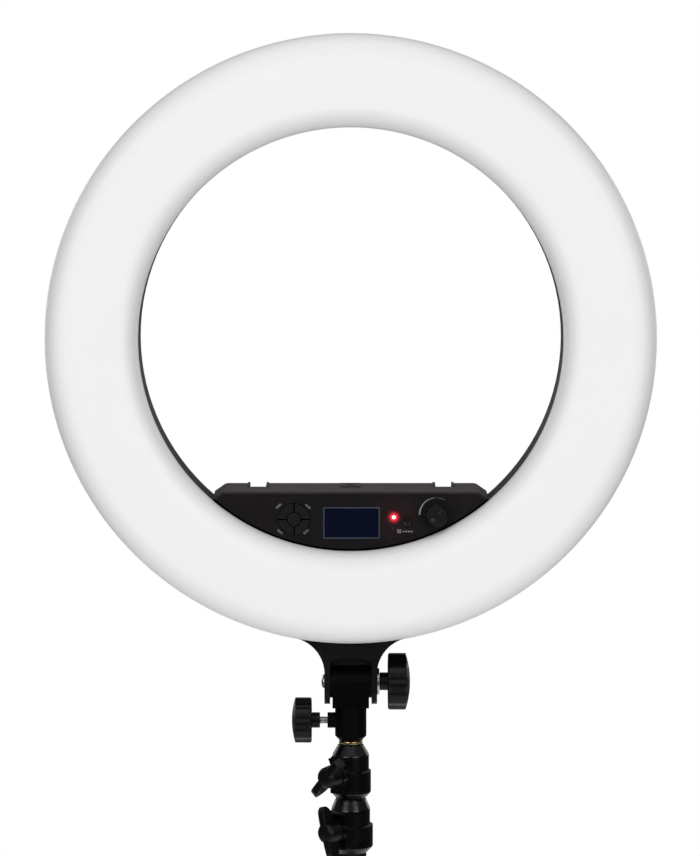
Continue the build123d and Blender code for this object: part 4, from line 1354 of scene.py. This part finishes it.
@dataclass
class Column:
    """The telescoping tubes, their clamp collars and wing knobs."""

    wing_heading: float = 230.0
    blade_half: float = 2.95
    screw_radius: float = 2.9

    def build(self) -> None:
        """Makes every piece of the column."""
        tube = DrawnTube("drawn_tube_upright")
        for node, body in (("inner", "top_section"), ("middle", "middle_section"), ("base", "base")):
            soft_piece(f"{node}_tube", 0.2, tube, body, Slot.TUBE)
        for node, body in (("upper_collar", "middle_section"), ("lower_collar", "base")):
            soft_piece(node, 0.5, GlossMoulding(), body, Slot.COLLAR, segments=3)
        self.make_wing("upper", drop=-347.2, turn=-42.0, inner=9.35, start=19.6)
        self.make_wing("lower", drop=-391.9, turn=15.0, inner=11.35, start=19.4)

    def make_wing(self, which: str, drop: float, turn: float, inner: float, start: float) -> None:
        """Makes a two-winged knob with full, rounded blades.

        Args:
            which: The knob's first name.
            drop: The height of its screw below the ring's middle.
            turn: How far it is turned at rest, in degrees.
            inner: Where its screw ends, from the column's axis.
            start: Where its hub starts.
        """
        # One blade's outline, from the hub's foot out and round its tip
        side = [(9.0, 0.7), (12.5, 1.0), (19.6, 4.8), (21.5, 8.8), (19.3, 12.6), (10.0, 13.3)]
        corners = [(-x, y) for x, y in side] + side[::-1]
        rounds = {1: 3.0, 2: 3.2, 3: 2.4, 4: 3.2, 7: 3.2, 8: 2.4, 9: 3.2, 10: 3.0}
        blades = Shape.plate(corners, -self.blade_half, self.blade_half, rounds, 5).soften(2.1, 50.0, 4)
        knob = Shape().add(blades, raised(start) @ Matrix.Rotation(pi / 2, 4, "X"))
        hub = [(0, 0), (9.1, 0), (9.1, 3.4), (8.1, 12.9), (0, 14.3)]
        knob.add(Shape.turned(hub, {1: 0.5, 2: 0.8, 3: 2.5}, 64), raised(start))
        knob.add(Shape.rod(self.screw_radius, inner, start + 0.4, 0.5))
        heading = radians(self.wing_heading)
        place = Matrix(((0, sin(heading), cos(heading), 0), (0, -cos(heading), sin(heading), COLUMN_Y),
                        (1, 0, 0, RING_HEIGHT + drop), (0, 0, 0, 1)))
        place = place @ Matrix.Rotation(radians(turn), 4, "Z")
        body = f"{which}_wing"
        knob.piece(f"{body}_grip", KnobPlastic(), body, Slot.KNOB, place, [f"{body}_knob"])


# The legs


@dataclass
class Legs:
    """The two hubs, the legs with their feet, and the braces."""

    headings: tuple[float, float, float] = (90.0, 210.0, 330.0)
    spread: float = 57.0
    pivot_radius: float = 28.0
    leg_length: float = 520.0
    bore: float = 8.05
    boot_radius: float = 9.6
    groove_radius: float = 8.9
    sole_radius: float = 10.0
    lock_out: float = 27.2
    lock_rise: float = 16.0

    def build(self) -> None:
        """Makes every piece of the folding base."""
        soft_piece("upper_spider", 0.6, GlossMoulding(), "sliding_hub", Slot.COLLAR)
        soft_piece("upper_pins", 0.3, STEEL, "sliding_hub", Slot.STEEL)
        self.make_lock_knob()
        soft_piece("lower_spider", 0.6, GlossMoulding(), "base", Slot.COLLAR)
        soft_piece("lower_pins", 0.3, STEEL, "base", Slot.STEEL)
        soft_piece("base_cap", 0.6, Rubber(), "base", Slot.RUBBER)
        for index, heading in enumerate(self.headings, start=1):
            turn = (0, radians(180.0 - self.spread), radians(heading))
            finish = DrawnTube(f"drawn_tube_leg_{index}", turn=turn)
            soft_piece(f"leg_{index}", 0.2, finish, f"leg_{index}", Slot.TUBE)
            soft_piece(f"brace_{index}", 0.4, CastCoat(), f"brace_{index}", Slot.CASTING)
            self.make_foot(index, heading)

    @property
    def upper_pivot(self) -> float:
        """The height of the legs' top pivots."""
        return self.leg_length * cos(radians(self.spread))

    def leg_frame(self, heading: float) -> Matrix:
        """A leg's own frame, whose Z runs down the leg from its top pivot."""
        out = STAND @ Matrix.Rotation(radians(heading), 4, "Z")
        pivot = Matrix.Translation((self.pivot_radius, 0, self.upper_pivot))
        return out @ pivot @ Matrix.Rotation(radians(180.0 - self.spread), 4, "Y")

    def make_foot(self, index: int, heading: float) -> None:
        """A ribbed rubber boot, cut flat where it stands."""
        end = self.leg_length - 8.0
        start, seat = end - 34.0, end - 12.0
        corners = [(self.bore, start), (self.boot_radius, start)]
        for rib in range(4):
            low = start + 4.0 + rib * 3.4
            corners += [(self.boot_radius, low), (self.groove_radius, low + 0.7),
                        (self.groove_radius, low + 1.6), (self.boot_radius, low + 2.3)]
        sole = len(corners) + 1
        corners += [(self.sole_radius, low + 5.0), (self.sole_radius, end), (0, end),
                    (0, seat), (self.bore, seat)]
        shape = Shape.turned(corners, {1: 0.6, sole: 2.0}, 48, closed=True)
        shape.move(self.leg_frame(heading))
        mesh = shape.mesh
        cut = bmesh.ops.bisect_plane(
            mesh, geom=mesh.verts[:] + mesh.edges[:] + mesh.faces[:], dist=1e-4,
            plane_co=(0, 0, 0.0), plane_no=(0, 0, -1), clear_outer=True,
        )["geom_cut"]
        rim = [item for item in cut if isinstance(item, bmesh.types.BMEdge)]
        bmesh.ops.holes_fill(mesh, edges=rim, sides=0)
        shape.closed()
        shape.piece(f"boot_{index}", Rubber(), f"leg_{index}", Slot.RUBBER, ROW, [f"foot_{index}"])

    def make_lock_knob(self) -> None:
        """The small round knob that locks the sliding hub."""
        shape = Shape().add(lobed_head(radius=13.0, tall=11.0, lobes=5, crown=2.0, rim=1.1))
        shape.add(Shape.rod(radius=6.0, low=-1.8, high=0.6, edge=0.4, steps=40))
        shape.add(Shape.rod(radius=2.95, low=-14.2, high=0.4, edge=0.5))
        place = Matrix.Translation((0, COLUMN_Y - self.lock_out, self.upper_pivot + self.lock_rise))
        place = place @ Matrix.Rotation(pi / 2, 4, "X")
        shape.piece("lock_knob", KnobPlastic(), "hub_lock", Slot.KNOB, place, ["spider_knob"])


def main() -> None:
    """Builds the scene."""
    logging.basicConfig(level=logging.INFO, format="%(name)s %(message)s")
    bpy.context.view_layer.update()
    for part in (Studio(), RingHead(), ControlPanel(), BackOfBox(), TiltJoint(), Column(), Legs()):
        part.build()
        LOG.info("%s is done", type(part).__name__)


if __name__ == "__main__":
    main()
